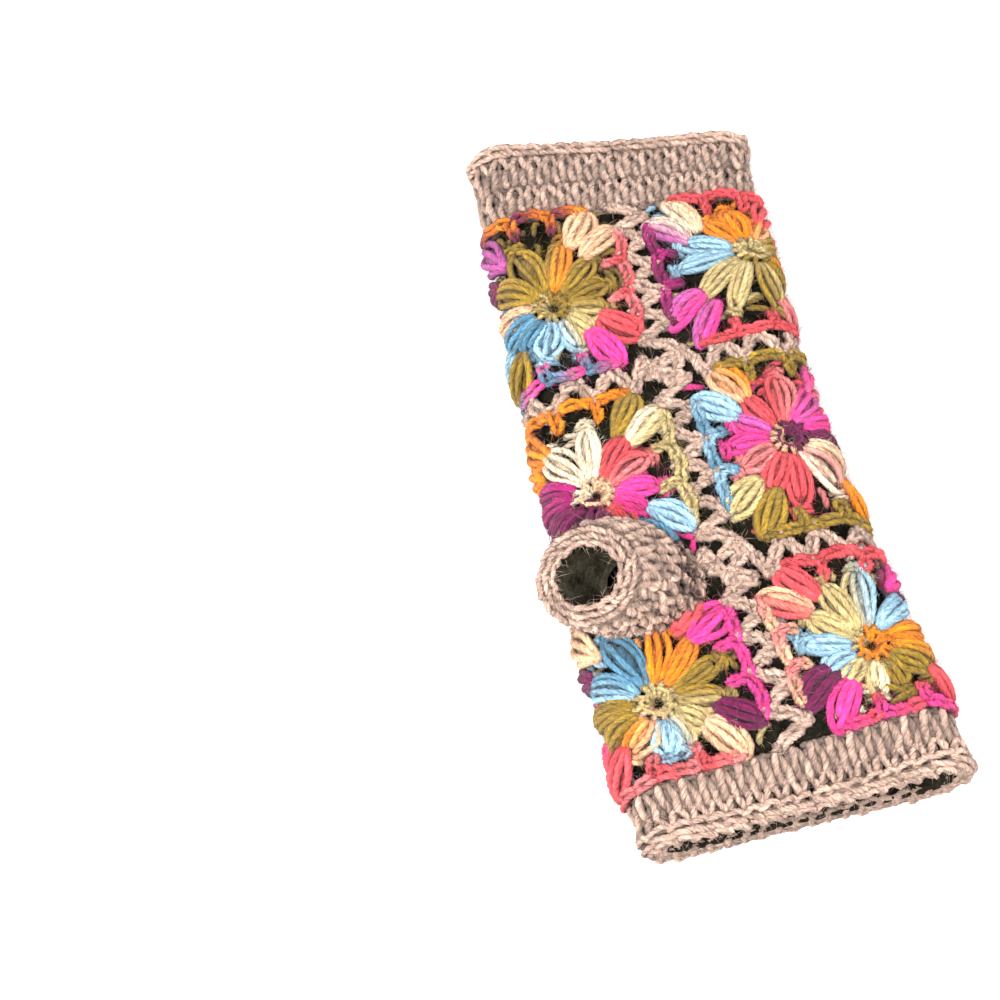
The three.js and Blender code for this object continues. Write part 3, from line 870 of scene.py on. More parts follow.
@dataclass
class Chain:
    """A crocheted chain: pairs of legs that spread from one link into the next."""

    width: float = 4.5
    link: float = 4.9
    strand_radius: float = 1.05
    roll: float = 0.0
    unevenness: float = 0.2
    core: float = 0.0
    core_drop: float = 0.5
    look: float = 0.6

    def work(
        self,
        basket: Basket,
        ground: Any,
        path: Sequence[Sequence[float]],
        dyes: Dyes,
        painted_shade: float = 1.0,
    ) -> None:
        """Works the chain along a flat path.

        Args:
            basket: Basket that takes the strands.
            ground: Ground that it lies on.
            path: Rows of across, along and lift.
            dyes: Its dyes, from one end to the other.
            painted_shade: Its painted shade, as a brightness.
        """
        line = smooth_path(path, 0.8)
        run = lengths_along(line)
        count = max(1, int(round(run[-1] / self.link)))
        link = run[-1] / count
        steps = np.array([-0.12, 0.22, 0.62, 1.02, 1.3])
        spread = np.array([0.12, 0.6, 0.98, 0.95, 0.35]) * (self.width / 2 - self.strand_radius)
        rise = np.array([-0.9, 0.35, 0.55, 0.0, -1.0]) * self.strand_radius
        random = basket.random
        if self.core > 0:
            core = line - np.array([0.0, 0.0, self.core_drop])
            # The core lies under the links and is darkened by painted shade.
            basket.lay(ground, core, self.core, dyes, painted_shade=0.55 * painted_shade, spacing=2.0, plied=False)
        for index in range(count):
            for hand in (-1, 1):
                wobble = random.normal(0, self.unevenness, (5, 3))
                stops = np.clip((index + steps) * link, 0, run[-1])
                places = read_rows(line, run, stops)
                ahead = read_rows(line, run, np.clip(stops + self.look, 0, run[-1]))
                behind = read_rows(line, run, np.clip(stops - self.look, 0, run[-1]))
                forward = unit_rows((ahead - behind)[:, :2])
                side = np.stack([forward[:, 1], -forward[:, 0]], axis=1)
                offset = hand * spread * math.cos(self.roll) - rise * math.sin(self.roll)
                lift = hand * spread * math.sin(self.roll) + rise * math.cos(self.roll)
                rows = np.empty((5, 4))
                rows[:, :2] = places[:, :2] + side * offset[:, None]
                rows[:, 2] = places[:, 2] + lift
                rows[:, :3] += wobble
                rows[:, 3] = np.clip(stops / run[-1], 0, 1)
                basket.lay(ground, rows, self.strand_radius * random.uniform(0.92, 1.08), dyes, 0.9, painted_shade)


@dataclass(frozen=True)
class FlowerChart:
    """Dyes of one flower square. Lists run clockwise from the wrist side, corners from the left wrist one."""

    turn: float
    eye: tuple[float, float]
    ring: tuple[Dye, ...]
    petals: tuple[Dyes, ...]
    corners: tuple[tuple[Dyes, Dyes], ...]
    sides: tuple[Dyes, ...]


def plain(*dyes: Dye) -> tuple[Dyes, ...]:
    """Pairs each dye with itself."""
    return tuple((dye, dye) for dye in dyes)


D = Dye
CHARTS: dict[str, FlowerChart] = {
    "finger_left": FlowerChart(
        -50,
        (0.0, -0.20),
        (D.PALE_OLIVE, D.PALE_OLIVE, D.PEACH, D.PALE_OLIVE),
        (
            (D.LIGHT_BLUE, D.STEEL),
            *plain(D.STEEL, D.ORANGE, D.ORANGE, D.OLIVE),
            (D.OLIVE, D.PALE_OLIVE),
            *plain(D.PALE_OLIVE),
            (D.PALE_OLIVE, D.LIGHT_BLUE),
            *plain(D.LIGHT_BLUE),
            (D.PEACH, D.ORANGE),
            *plain(D.OLIVE, D.OLIVE),
        ),
        (
            (plain(D.PLUM)[0], plain(D.PEACH)[0]),
            (plain(D.CORAL)[0], plain(D.PINK)[0]),
            (plain(D.PLUM)[0], plain(D.PEACH)[0]),
            (plain(D.CORAL)[0], (D.CORAL, D.PINK)),
        ),
        ((D.PEACH, D.STEEL), (D.PINK, D.PINK), (D.SALMON, D.CORAL), (D.PINK, D.PLUM)),
    ),
    "finger_right": FlowerChart(
        -47,
        (-0.07, -0.18),
        (D.ORANGE, D.ORANGE, D.ORANGE, D.PALE_OLIVE),
        (
            *plain(D.PALE_OLIVE, D.PALE_OLIVE),
            (D.PALE_OLIVE, D.LIGHT_BLUE),
            *plain(D.LIGHT_BLUE, D.ORANGE),
            (D.ORANGE, D.OLIVE),
            *plain(D.OLIVE, D.OLIVE),
            (D.CREAM, D.PALE_OLIVE),
            *plain(D.PALE_OLIVE, D.LIGHT_BLUE, D.LIGHT_BLUE),
        ),
        (
            ((D.CORAL, D.PEACH), plain(D.CORAL)[0]),
            (plain(D.PINK)[0], plain(D.PLUM)[0]),
            ((D.CORAL, D.PINK), plain(D.CORAL)[0]),
            (plain(D.PINK)[0], plain(D.PLUM)[0]),
        ),
        ((D.CORAL, D.CORAL), (D.LIGHT_BLUE, D.PEACH), (D.CORAL, D.PINK), (D.PEACH, D.SALMON)),
    ),
    "finger_under": FlowerChart(
        -15,
        (0.05, -0.05),
        (D.PEACH, D.CORAL),
        (
            *plain(D.CORAL, D.SALMON, D.PEACH, D.LIGHT_BLUE, D.STEEL, D.OLIVE),
            *plain(D.PALE_OLIVE, D.PINK, D.PINK, D.PLUM, D.MAUVE, D.CORAL),
        ),
        (
            plain(D.ORANGE, D.ORANGE),
            plain(D.PINK, D.PLUM),
            plain(D.STEEL, D.LIGHT_BLUE),
            plain(D.OLIVE, D.PALE_OLIVE),
        ),
        plain(D.PLUM, D.ORANGE, D.PINK, D.STEEL),
    ),
    "middle_left": FlowerChart(
        -55,
        (0.0, -0.11),
        (D.PEACH, D.PEACH, D.PLUM, D.CREAM),
        (
            (D.PLUM, D.MAGENTA),
            *plain(D.CREAM, D.CREAM, D.CORAL),
            (D.CORAL, D.SALMON),
            *plain(D.PINK, D.PINK, D.CORAL, D.PLUM, D.PLUM, D.PLUM),
            (D.PLUM, D.MAGENTA),
        ),
        (
            (plain(D.ORANGE)[0], plain(D.ORANGE)[0]),
            (plain(D.OLIVE)[0], (D.CREAM, D.PALE_OLIVE)),
            (plain(D.LIGHT_BLUE)[0], plain(D.STEEL)[0]),
            ((D.CORAL, D.PINK), plain(D.PINK)[0]),
        ),
        ((D.ORANGE, D.ORANGE), (D.PALE_OLIVE, D.PALE_OLIVE), (D.SALMON, D.PEACH), (D.STEEL, D.LIGHT_BLUE)),
    ),
    "middle_right": FlowerChart(
        -25,
        (-0.05, 0.0),
        (D.PLUM, D.PLUM, D.PEACH, D.PEACH),
        (
            *plain(D.CORAL),
            (D.CORAL, D.SALMON),
            (D.PINK, D.MAUVE),
            *plain(D.PINK, D.PLUM),
            (D.CREAM, D.PEACH),
            (D.SALMON, D.CREAM),
            *plain(D.CORAL, D.CORAL, D.SALMON, D.PINK),
            (D.PINK, D.MAUVE),
        ),
        (
            (plain(D.LIGHT_BLUE)[0], (D.PEACH, D.ORANGE)),
            ((D.PINK, D.SALMON), plain(D.CORAL)[0]),
            (plain(D.ORANGE)[0], plain(D.ORANGE)[0]),
            (plain(D.OLIVE)[0], plain(D.PALE_OLIVE)[0]),
        ),
        ((D.OLIVE, D.OLIVE), (D.PEACH, D.SALMON), (D.OLIVE, D.OLIVE), (D.STEEL, D.LIGHT_BLUE)),
    ),
    "middle_under": FlowerChart(
        10,
        (0.0, 0.05),
        (D.LIGHT_BLUE, D.STEEL),
        (
            *plain(D.STEEL, D.LIGHT_BLUE, D.CREAM, D.PEACH, D.ORANGE, D.ORANGE),
            *plain(D.OLIVE, D.OLIVE, D.PLUM, D.MAUVE, D.PINK, D.STEEL),
        ),
        (
            plain(D.CORAL, D.SALMON),
            plain(D.PLUM, D.PINK),
            plain(D.ORANGE, D.ORANGE),
            plain(D.CREAM, D.PEACH),
        ),
        plain(D.PINK, D.OLIVE, D.STEEL, D.CORAL),
    ),
    "wrist_left": FlowerChart(
        -15,
        (0.03, -0.18),
        (D.OLIVE, D.PALE_OLIVE),
        (
            *plain(D.OLIVE),
            (D.OLIVE, D.ORANGE),
            *plain(D.OLIVE, D.OLIVE),
            (D.OLIVE, D.PALE_OLIVE),
            *plain(D.PALE_OLIVE),
            (D.PALE_OLIVE, D.LIGHT_BLUE),
            *plain(D.LIGHT_BLUE, D.STEEL, D.STEEL, D.PEACH, D.OLIVE),
        ),
        (
            plain(D.PLUM, D.MAUVE),
            plain(D.PEACH, D.PEACH),
            (plain(D.CORAL)[0], plain(D.PINK)[0]),
            plain(D.OLIVE, D.LIGHT_BLUE),
        ),
        ((D.PLUM, D.ORANGE), (D.SALMON, D.CORAL), (D.PINK, D.STEEL), (D.CORAL, D.PLUM)),
    ),
    "wrist_right": FlowerChart(
        -10,
        (0.18, 0.12),
        (D.PALE_OLIVE, D.OLIVE, D.PALE_OLIVE),
        (
            *plain(D.ORANGE),
            (D.ORANGE, D.PEACH),
            *plain(D.OLIVE, D.OLIVE),
            (D.OLIVE, D.ORANGE),
            *plain(D.OLIVE),
            (D.PALE_OLIVE, D.OLIVE),
            *plain(D.PALE_OLIVE, D.PALE_OLIVE, D.LIGHT_BLUE, D.LIGHT_BLUE, D.ORANGE),
        ),
        (
            ((D.MAUVE, D.CREAM), (D.CREAM, D.PEACH)),
            plain(D.CORAL, D.CORAL),
            plain(D.CORAL, D.SALMON),
            ((D.PINK, D.MAUVE), (D.PINK, D.MAUVE)),
        ),
        ((D.CORAL, D.CORAL), (D.PINK, D.PLUM), (D.CORAL, D.CORAL), (D.PLUM, D.MAGENTA)),
    ),
    "wrist_under": FlowerChart(
        0,
        (-0.04, 0.0),
        (D.MAUVE, D.PINK),
        (
            *plain(D.MAUVE, D.PLUM, D.PINK, D.CORAL, D.CORAL, D.SALMON),
            *plain(D.CREAM, D.PEACH, D.OLIVE, D.OLIVE, D.LIGHT_BLUE, D.STEEL),
        ),
        (
            plain(D.OLIVE, D.PALE_OLIVE),
            plain(D.ORANGE, D.ORANGE),
            plain(D.PLUM, D.PLUM),
            plain(D.STEEL, D.LIGHT_BLUE),
        ),
        plain(D.ORANGE, D.CORAL, D.OLIVE, D.MAUVE),
    ),
}


class Row(Enum):
    """Rows of squares, with the course that each begins at."""

    FINGER = 1
    MIDDLE = 2
    WRIST = 3


class Column(Enum):
    """Columns of squares, with the share of the girth at their middle."""

    LEFT = -1 / 6
    RIGHT = 1 / 6
    UNDER = 1 / 2


@dataclass
class FlowerSquare:
    """One flower square: eye ring, petals, corner puffs and the chains along its sides."""

    tube: Tube
    row: Row
    column: Column
    thumb: ThumbGround
    ring_inner: float = 2.1
    ring_outer: float = 6.4
    ring_stitches: int = 12
    petal_share: float = 0.76
    diagonal_pinch: float = 0.12
    petal_length: float = 17.0
    petal_lean: float = 1.5
    shortest_petal: float = 15.5
    petal_spare: float = 2.5
    petal_root: float = 1.3
    corner_nudge: float = 2.0
    corner_inner: float = 0.42
    corner_outer: tuple[float, float] = (0.98, 0.69)
    side_line: float = 0.94
    side_share: float = 0.66
    node_share: float = 0.21
    side_low: float = 3.7
    side_high: float = 4.9
    loop_low: float = 1.0
    loop_high: float = 2.9
    petal: Puff = field(default_factory=lambda: Puff(5.0, 3.9, strand_radius=1.16, point=0.6))
    corner: Puff = field(default_factory=lambda: Puff(5.7, 4.6, strand_radius=1.36, point=0.35))
    petal_link: Chain = field(default_factory=lambda: Chain(3.8, 4.6, 0.95))
    side_chain: Chain = field(default_factory=lambda: Chain(4.6, 4.8, 1.05, core=0.9))
    tie: Chain = field(default_factory=lambda: Chain(4.2, 3.8, 1.05))
    fillers: int = 52
    hairs: int = 6000
    hidden_hairs: int = 1000

    def build(self, seed: int, finish: bpy.types.Material) -> bpy.types.Object:
        """Works the square.

        Args:
            seed: Seed of its unevenness.
            finish: Its material.

        Returns:
            The finished piece.
        """
        name = f"{self.row.name.lower()}_{self.column.name.lower()}"
        chart = CHARTS[name]
        first, last = self.row is Row.FINGER, self.row is Row.WRIST
        ground = SquareGround(self.tube, self.column.value, self.row.value, first, last)
        near_thumb = self.column is Column.LEFT and self.row is not Row.WRIST
        basket = Basket(f"flower_{name}", seed, self.thumb if near_thumb else None)
        half = np.array([ground.across, ground.along])
        eye = half * np.array(chart.eye)
        self._ring(basket, ground, eye, chart)
        self._petals(basket, ground, eye, half, chart)
        self._corners(basket, ground, half, chart)
        self._sides(basket, ground, half, chart)
        self._fill(basket, ground, half, chart)
        basket.fray(self.hidden_hairs if self.column is Column.UNDER else self.hairs)
        piece = basket.weave(finish)
        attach(piece, "root")
        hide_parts(f"square_{name}")
        return piece

    def _ring(self, basket: Basket, ground: SquareGround, eye: np.ndarray, chart: FlowerChart) -> None:
        """Works the short stitches round the eye.

        Args:
            basket: Basket that takes the strands.
            ground: The square's ground.
            eye: Middle of the eye.
            chart: The square's dyes.
        """
        for stitch in range(self.ring_stitches):
            turn = 2 * math.pi * (stitch + basket.random.uniform(-0.15, 0.15)) / self.ring_stitches
            way = np.array([math.sin(turn), math.cos(turn)])
            dye = chart.ring[int(stitch / self.ring_stitches * len(chart.ring))]
            inner, outer = self.ring_inner, self.ring_outer
            marks = ((inner, 0.9), (inner + 0.3, 2.9), (3.9, 4.1), (5.8, 3.6), (outer, 1.6))
            path = [[*(eye + way * reach), lift] for reach, lift in marks]
            basket.lay(ground, path, 0.98, (dye, dye), 0.8)
        dye = chart.ring[0]
        turns = np.linspace(0.0, 1.9 * math.pi, 13)
        reaches = 3.7 + basket.random.uniform(-0.6, 0.6, len(turns))
        ways = np.stack([np.sin(turns), np.cos(turns)], axis=1)
        coil = [[*(eye + way * reach), 4.2] for way, reach in zip(ways, reaches)]
        basket.lay(ground, coil, 0.85, (dye, chart.ring[-1]), 0.8)

    def _petals(
        self,
        basket: Basket,
        ground: SquareGround,
        eye: np.ndarray,
        half: np.ndarray,
        chart: FlowerChart,
    ) -> None:
        """Works the ring of petals and the links over their tips.

        Args:
            basket: Basket that takes the strands.
            ground: The square's ground.
            eye: Middle of the eye.
            half: Half the square's width and length.
            chart: The square's dyes.
        """
        pitch = 360 / len(chart.petals)
        for index, dyes in enumerate(chart.petals):
            lean = self.petal_lean if index % 2 else -self.petal_lean
            turn = math.radians(chart.turn + pitch * index + lean + basket.random.uniform(-2, 2))
            way = np.array([math.sin(turn), math.cos(turn)])
            pinch = 1 - self.diagonal_pinch * (2 * way[0] * way[1]) ** 2
            edge = pinch / math.sqrt(((way / (half * self.petal_share)) ** 2).sum())
            toward = float(way @ -eye)
            along = toward + math.sqrt(max(edge**2 - float(eye @ eye) + toward**2, 1.0))
            longest = self.ring_outer + self.petal_length + self.petal_spare
            reach = float(np.clip(along, self.shortest_petal, longest))
            start = eye + way * (self.ring_outer - self.petal_root)
            end = eye + way * reach
            style = PuffStyle.LOOPED if basket.random.uniform() < 0.6 else PuffStyle.GATHERED
            self.petal.work(basket, ground, start, end, dyes, style)
            side = np.array([way[1], -way[0]])
            marks = ((-3.0, 0.2, 1.4), (0, 1.2, 3.7), (3.0, 0.2, 1.4))
            link = [[*(end + side * x + way * y), lift] for x, y, lift in marks]
            self.petal_link.work(basket, ground, link, dyes)

    def _corners(self, basket: Basket, ground: SquareGround, half: np.ndarray, chart: FlowerChart) -> None:
        """Works the two puffs of each corner, clockwise.

        Args:
            basket: Basket that takes the strands.
            ground: The square's ground.
            half: Half the square's width and length.
            chart: The square's dyes.
        """
        far, near = self.corner_outer
        for (right, up), pair in zip(((-1, 1), (1, 1), (1, -1), (-1, -1)), chart.corners):
            clockwise = right * up > 0
            outers = [(near, far), (far, near)] if clockwise else [(far, near), (near, far)]
            for (x, y), dyes in zip(outers, pair):
                nudge = self.corner_nudge if x > y else -self.corner_nudge
                start = half * self.corner_inner * np.array([right, up]) + np.array([right, -up]) * nudge
                end = half * np.array([right * x, up * y])
                style = PuffStyle.LOOPED if basket.random.uniform() < 0.5 else PuffStyle.GATHERED
                self.corner.work(basket, ground, start, end, dyes, style)

    def _fill(self, basket: Basket, ground: SquareGround, half: np.ndarray, chart: FlowerChart) -> None:
        """Works the low loops of wool that show between the puffs and the side chains.

        Args:
            basket: Basket that takes the strands.
            ground: The square's ground.
            half: Half the square's width and length.
            chart: The square's dyes.
        """
        random = basket.random
        petals = len(chart.petals)
        for _ in range(self.fillers):
            spin = random.uniform(0, 2 * math.pi)
            share = random.uniform(0.5, 0.93)
            way = np.array([math.sin(spin), math.cos(spin)])
            middle = half * share * way / max(abs(way))
            index = int(((math.degrees(spin) - chart.turn) / (360 / petals)) % petals)
            dyes = chart.petals[index]
            lean = spin + random.choice((0.0, math.pi / 2)) + random.normal(0, 0.4)
            reach = np.array([math.sin(lean), math.cos(lean)]) * random.uniform(2.5, 4.5)
            bow = np.array([reach[1], -reach[0]]) * random.uniform(-0.4, 0.4)
            path = [
                [*(middle - reach), self.loop_low],
                [*(middle + bow), self.loop_high],
                [*(middle + reach), self.loop_low],
            ]
            # The low loops are slightly darkened by painted shade.
            basket.lay(ground, path, 1.05, dyes, painted_shade=0.9)

    def _sides(self, basket: Basket, ground: SquareGround, half: np.ndarray, chart: FlowerChart) -> None:
        """Works the chains along the sides and the short ones that tie them to the petals.

        Args:
            basket: Basket that takes the strands.
            ground: The square's ground.
            half: Half the square's width and length.
            chart: The square's dyes.
        """
        ways = ((0, 1), (1, 0), (0, -1), (-1, 0))
        for (right, up), dyes in zip(ways, chart.sides):
            out = np.array([right, up], dtype=float)
            side = np.array([up, -right], dtype=float)
            reach = float(abs(out @ half)) * self.side_line
            wide = float(abs(side @ half))
            ends, ties = self.side_share * wide, self.node_share * wide
            stops = [-ends, -ties, ties, ends]
            for start, end in zip(stops[:-1], stops[1:]):
                middle = (start + end) / 2
                bow = basket.random.uniform(0.6, 1.6)
                path = [
                    [*(out * reach + side * start), self.side_low],
                    [*(out * (reach + bow) + side * middle), self.side_high],
                    [*(out * reach + side * end), self.side_low],
                ]
                self.side_chain.work(basket, ground, path, dyes)
            for node in stops[1:-1]:
                path = [
                    [*(out * (reach - 6.5) + side * (node + basket.random.uniform(-1, 1))), 2.6],
                    [*(out * (reach - 3.0) + side * node), 4.6],
                    [*(out * reach + side * node), 4.4],
                ]
                self.tie.work(basket, ground, path, dyes)


@dataclass
class JoiningNet:
    """Chains that zigzag between the squares."""

    tube: Tube
    thumb: ThumbGround
    reach: float = 5.8
    step: float = 6.0
    lift: float = 2.8
    chain: Chain = field(default_factory=lambda: Chain(4.8, 4.0, 1.15, unevenness=0.36, core=1.2))
    knot_reach: float = 1.9
    knot_low: float = 2.2
    knot_high: float = 5.0
    knot_radius: float = 0.95
    hairs: int = 9000

    def build(self, seed: int, finish: bpy.types.Material) -> bpy.types.Object:
        """Works the net.

        Args:
            seed: Seed of its unevenness.
            finish: Its material.

        Returns:
            The finished piece.
        """
        basket = Basket("joining_chains", seed, self.thumb)
        for girth in (0.0, 1 / 3, 2 / 3):
            for course in (1, 2, 3):
                ground = SquareGround(self.tube, girth, course, True, True)
                half = ground.length / 2
                count = 2 * int(round(half / self.step))
                stops = [(0.0, -half + 2 * half * k / count) for k in range(count + 1)]
                self._zigzag(basket, ground, stops, lengthwise=True)
        for course in (2.0, 3.0):
            ground = RoundGround(self.tube, course)
            count = 2 * int(round(ground.around / self.step / 2))
            stops = [(ground.around * k / count, 0.0) for k in range(count + 1)]
            self._zigzag(basket, ground, stops, lengthwise=False)
        basket.fray(self.hairs)
        piece = basket.weave(finish)
        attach(piece, "root")
        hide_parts("joining_net")
        return piece

    def _zigzag(
        self,
        basket: Basket,
        ground: Any,
        stops: list[tuple[float, float]],
        lengthwise: bool,
    ) -> None:
        """Works a zigzag chain through stops, with a knot at each turn.

        Args:
            basket: Basket that takes the strands.
            ground: Ground that it lies on.
            stops: Places on the strip's middle line.
            lengthwise: Whether the strip runs along the glove.
        """
        random = basket.random
        path = []
        for index, (x, y) in enumerate(stops):
            swing = (self.reach if index % 2 else -self.reach) + random.uniform(-0.7, 0.7)
            along = random.uniform(-0.8, 0.8)
            place = (x + swing, y + along) if lengthwise else (x + along, y + swing)
            path.append([*place, self.lift + random.uniform(-0.2, 0.4)])
        for start, end in zip(path[:-1], path[1:]):
            middle = [(start[0] + end[0]) / 2, (start[1] + end[1]) / 2, self.lift + 1.0]
            self.chain.work(basket, ground, [start, middle, end], PLAIN_TAUPE)
        for place in path:
            around = random.uniform(0, math.pi)
            for turn in (around, around + 1.6):
                middle = np.array(place[:2])
                way = np.array([math.cos(turn), math.sin(turn)]) * self.knot_reach
                knot = [
                    [*(middle - way), self.knot_low],
                    [*middle, self.knot_high],
                    [*(middle + way), self.knot_low],
                ]
                basket.lay(ground, knot, self.knot_radius, PLAIN_TAUPE, 0.9)


@dataclass
class TallStitch:
    """A tall stitch: two fat strands that cross, then part into two legs."""

    pitch: float
    height: float
    post_radius: float = 1.3
    leg_radius: float = 1.12
    lean: float = 0.5
    lift: float = 2.2
    crossing: float = 0.75 * math.pi
    leg_share: float = 0.30
    back_lift: float = 1.2
    unevenness: float = 0.25

    def work(self, basket: Basket, ground: Any, x: float, low: float, sign: float, dyes: Dyes) -> None:
        """Works the stitch and the wool behind it.

        Args:
            basket: Basket that takes the strands.
            ground: Ground that it lies on.
            x: Its place along the row.
            low: Where it begins.
            sign: Which way it stands.
            dyes: Its dyes.
        """
        random = basket.random
        lean = self.lean + random.uniform(-1, 1) * self.unevenness * 2
        phase = -self.crossing / 2 + random.uniform(-1, 1) * self.unevenness * 1.5
        post = (1 - self.leg_share * 0.7) * self.height
        reach = self.pitch * 0.27
        for hand in (0, 1):
            path = []
            for part in np.linspace(-0.06, 1.0, 8):
                turn = phase + math.pi * hand + part * self.crossing
                swell = 0.85 + 0.2 * math.sin(math.pi * max(part, 0)) + random.uniform(-0.08, 0.08)
                across = x + lean * (part - 0.5) + reach * swell * math.cos(turn)
                path.append([across, sign * (low + part * post), self.lift + 0.85 * swell * math.sin(turn)])
            basket.lay(ground, path, self.post_radius * random.uniform(0.92, 1.08), dyes)
        for hand in (-1, 1):
            spread = hand * self.pitch * 0.36
            begin = 1 - self.leg_share
            # share of the lean, share of the spread, share of the height, lift
            marks = (
                (0.3, 0.0, begin - 0.12, -0.4),
                (0.4, 0.55, begin + 0.06, 0.95),
                (0.5, 0.95, 0.90, 0.7),
                (0.5, 1.05, 1.02, -0.8),
            )
            path = [
                [x + lean * tilt + spread * part, sign * (low + self.height * share), self.lift + rise]
                for tilt, part, share, rise in marks
            ]
            basket.lay(ground, path, self.leg_radius * random.uniform(0.92, 1.08), dyes)
        # The wool behind the stitch is darkened by painted shade.
        for offset, radius in ((0.5, 1.5), (0.0, 1.2)):
            across = x + self.pitch * offset
            parts = (-0.04, 0.35, 0.7, 1.04)
            back = [[across, sign * (low + self.height * part), self.back_lift] for part in parts]
            basket.lay(ground, back, radius, dyes, painted_shade=0.8, spacing=3.0, plied=False)


@dataclass
class Cuff:
    """A cuff of tall stitches between two courses."""

    tube: Tube
    node: str
    start: float
    end: float
    bands: int
    edge_allowance: float
    stitch_pitch: float = 5.5
    lean: float = 0.8
    hoop_radius: float = 1.3
    hoop_lift: float = 1.3
    hairs: int = 2000

    def build(self, seed: int, finish: bpy.types.Material) -> bpy.types.Object:
        """Works the cuff.

        Args:
            seed: Seed of its unevenness.
            finish: Its material.

        Returns:
            The finished piece.
        """
        basket = Basket(f"{self.node}_stitches", seed)
        ground = RoundGround(self.tube, self.start, reference=(self.start + self.end) / 2)
        ends = self.tube.course_place(np.array([self.start, self.end]), np.array([0.5, 0.5]))
        total = float(ends[1] - ends[0])
        sign = 1.0 if total > 0 else -1.0
        height = (abs(total) - self.edge_allowance) / self.bands
        count = int(round(ground.around / self.stitch_pitch))
        pitch = ground.around / count
        stitch = TallStitch(pitch, height, lean=self.lean)
        for band in range(self.bands):
            low = band * height
            for number in range(count):
                x = (number + 0.5 * (band % 2)) * pitch
                stitch.work(basket, ground, x, low, sign, PLAIN_TAUPE)
            for share in (0.0, 0.5, 0.98):
                along = sign * (low + share * height)
                hoop = [[x, along, self.hoop_lift] for x in np.linspace(0, ground.around, 70)]
                # The hoops lie under the stitches and are darkened by painted shade.
                basket.lay(
                    ground, hoop, self.hoop_radius, PLAIN_TAUPE, painted_shade=0.75, spacing=3.0, plied=False
                )
        basket.fray(self.hairs * self.bands)
        piece = basket.weave(finish)
        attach(piece, "root")
        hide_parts(self.node)
        return piece


@dataclass
class ChainEdge:
    """The braided edge round a mouth of the tube."""

    tube: Tube
    node: str
    course: float
    inward: float
    cord: float = 4.6
    link: float = 5.0
    tuck: float = 0.0
    sink: float = 0.7
    hairs: int = 1800

    def build(self, seed: int, finish: bpy.types.Material) -> bpy.types.Object:
        """Works the edge.

        Args:
            seed: Seed of its unevenness.
            finish: Its material.

        Returns:
            The finished piece.
        """
        # The edge gets lighter painted shade than the rest of the wool, on its strands' inner sides and where
        # they lie low.
        basket = Basket(f"{self.node}_braid", seed, size=YarnSize(under_shade=0.6, deep_shade=0.8))
        ground = RoundGround(self.tube, self.course)
        around = np.linspace(0, ground.around, 90)
        half = self.cord / 2
        tucked = self.tuck * (0.5 - 0.5 * np.cos(2 * math.pi * around / ground.around))
        # distance from the mouth, lift, roll, width, strand radius, share of the tuck
        chains = (
            (half + 0.5, 3.5, 0.15, 5.0, 1.02, 1.0),
            (half - 1.3, 1.8, 1.2, 4.8, 1.0, 0.45),
            (half - 0.9, 0.7, 1.4, 4.2, 1.05, 0.35),
        )
        top = chains[0][1]
        for back, lift, roll, width, radius, follow in chains:
            sunk = self.sink * (top - lift) / 4.0
            line = [
                [x, self.inward * (back + fold * follow), lift - sunk * fold]
                for x, fold in zip(around, tucked)
            ]
            chain = Chain(width, self.link, radius, roll * self.inward, unevenness=0.22)
            chain.work(basket, ground, line, PLAIN_TAUPE)
        # The cores lie under the chains and are darkened by painted shade.
        for back, lift, radius in ((half, 1.6, 1.5), (half + 0.8, 1.9, 1.4)):
            core = [[x, self.inward * back, lift] for x in around]
            basket.lay(ground, core, radius, PLAIN_TAUPE, painted_shade=0.8, spacing=2.5, plied=False)
        basket.fray(self.hairs)
        piece = basket.weave(finish)
        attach(piece, "root")
        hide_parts(self.node)
        return piece


@dataclass
class MouthGround:
    """Ground round the thumb's mouth: x is the way round, y the radius, z the height over the mouth."""

    thumb: ThumbGround
    radius: float = 12.4
    squash: float = 0.9

    def __post_init__(self) -> None:
        """Works out the way round and the mouth's own axes."""
        self.around = 2 * math.pi * self.radius
        _, _, lean, pitch = self.thumb.sections[-1]
        facing = np.array([-lean, -pitch, 1.0])
        self.facing = facing / np.linalg.norm(facing)
        across = np.cross(np.array([0.0, 1.0, 0.0]), self.facing)
        self.across = across / np.linalg.norm(across)
        self.up = np.cross(self.facing, self.across)

    def lay(self, flat: np.ndarray) -> np.ndarray:
        """Lays points round the mouth.

        Args:
            flat: Rows of the way round, the radius and the height over the mouth.

        Returns:
            Rows of x, y and z in millimetres.
        """
        turn = flat[:, 0] / self.radius
        ring = np.outer(np.cos(turn), self.across) + np.outer(np.sin(turn) * self.squash, self.up)
        return self.thumb.line[2] + ring * flat[:, 1:2] + np.outer(flat[:, 2], self.facing)


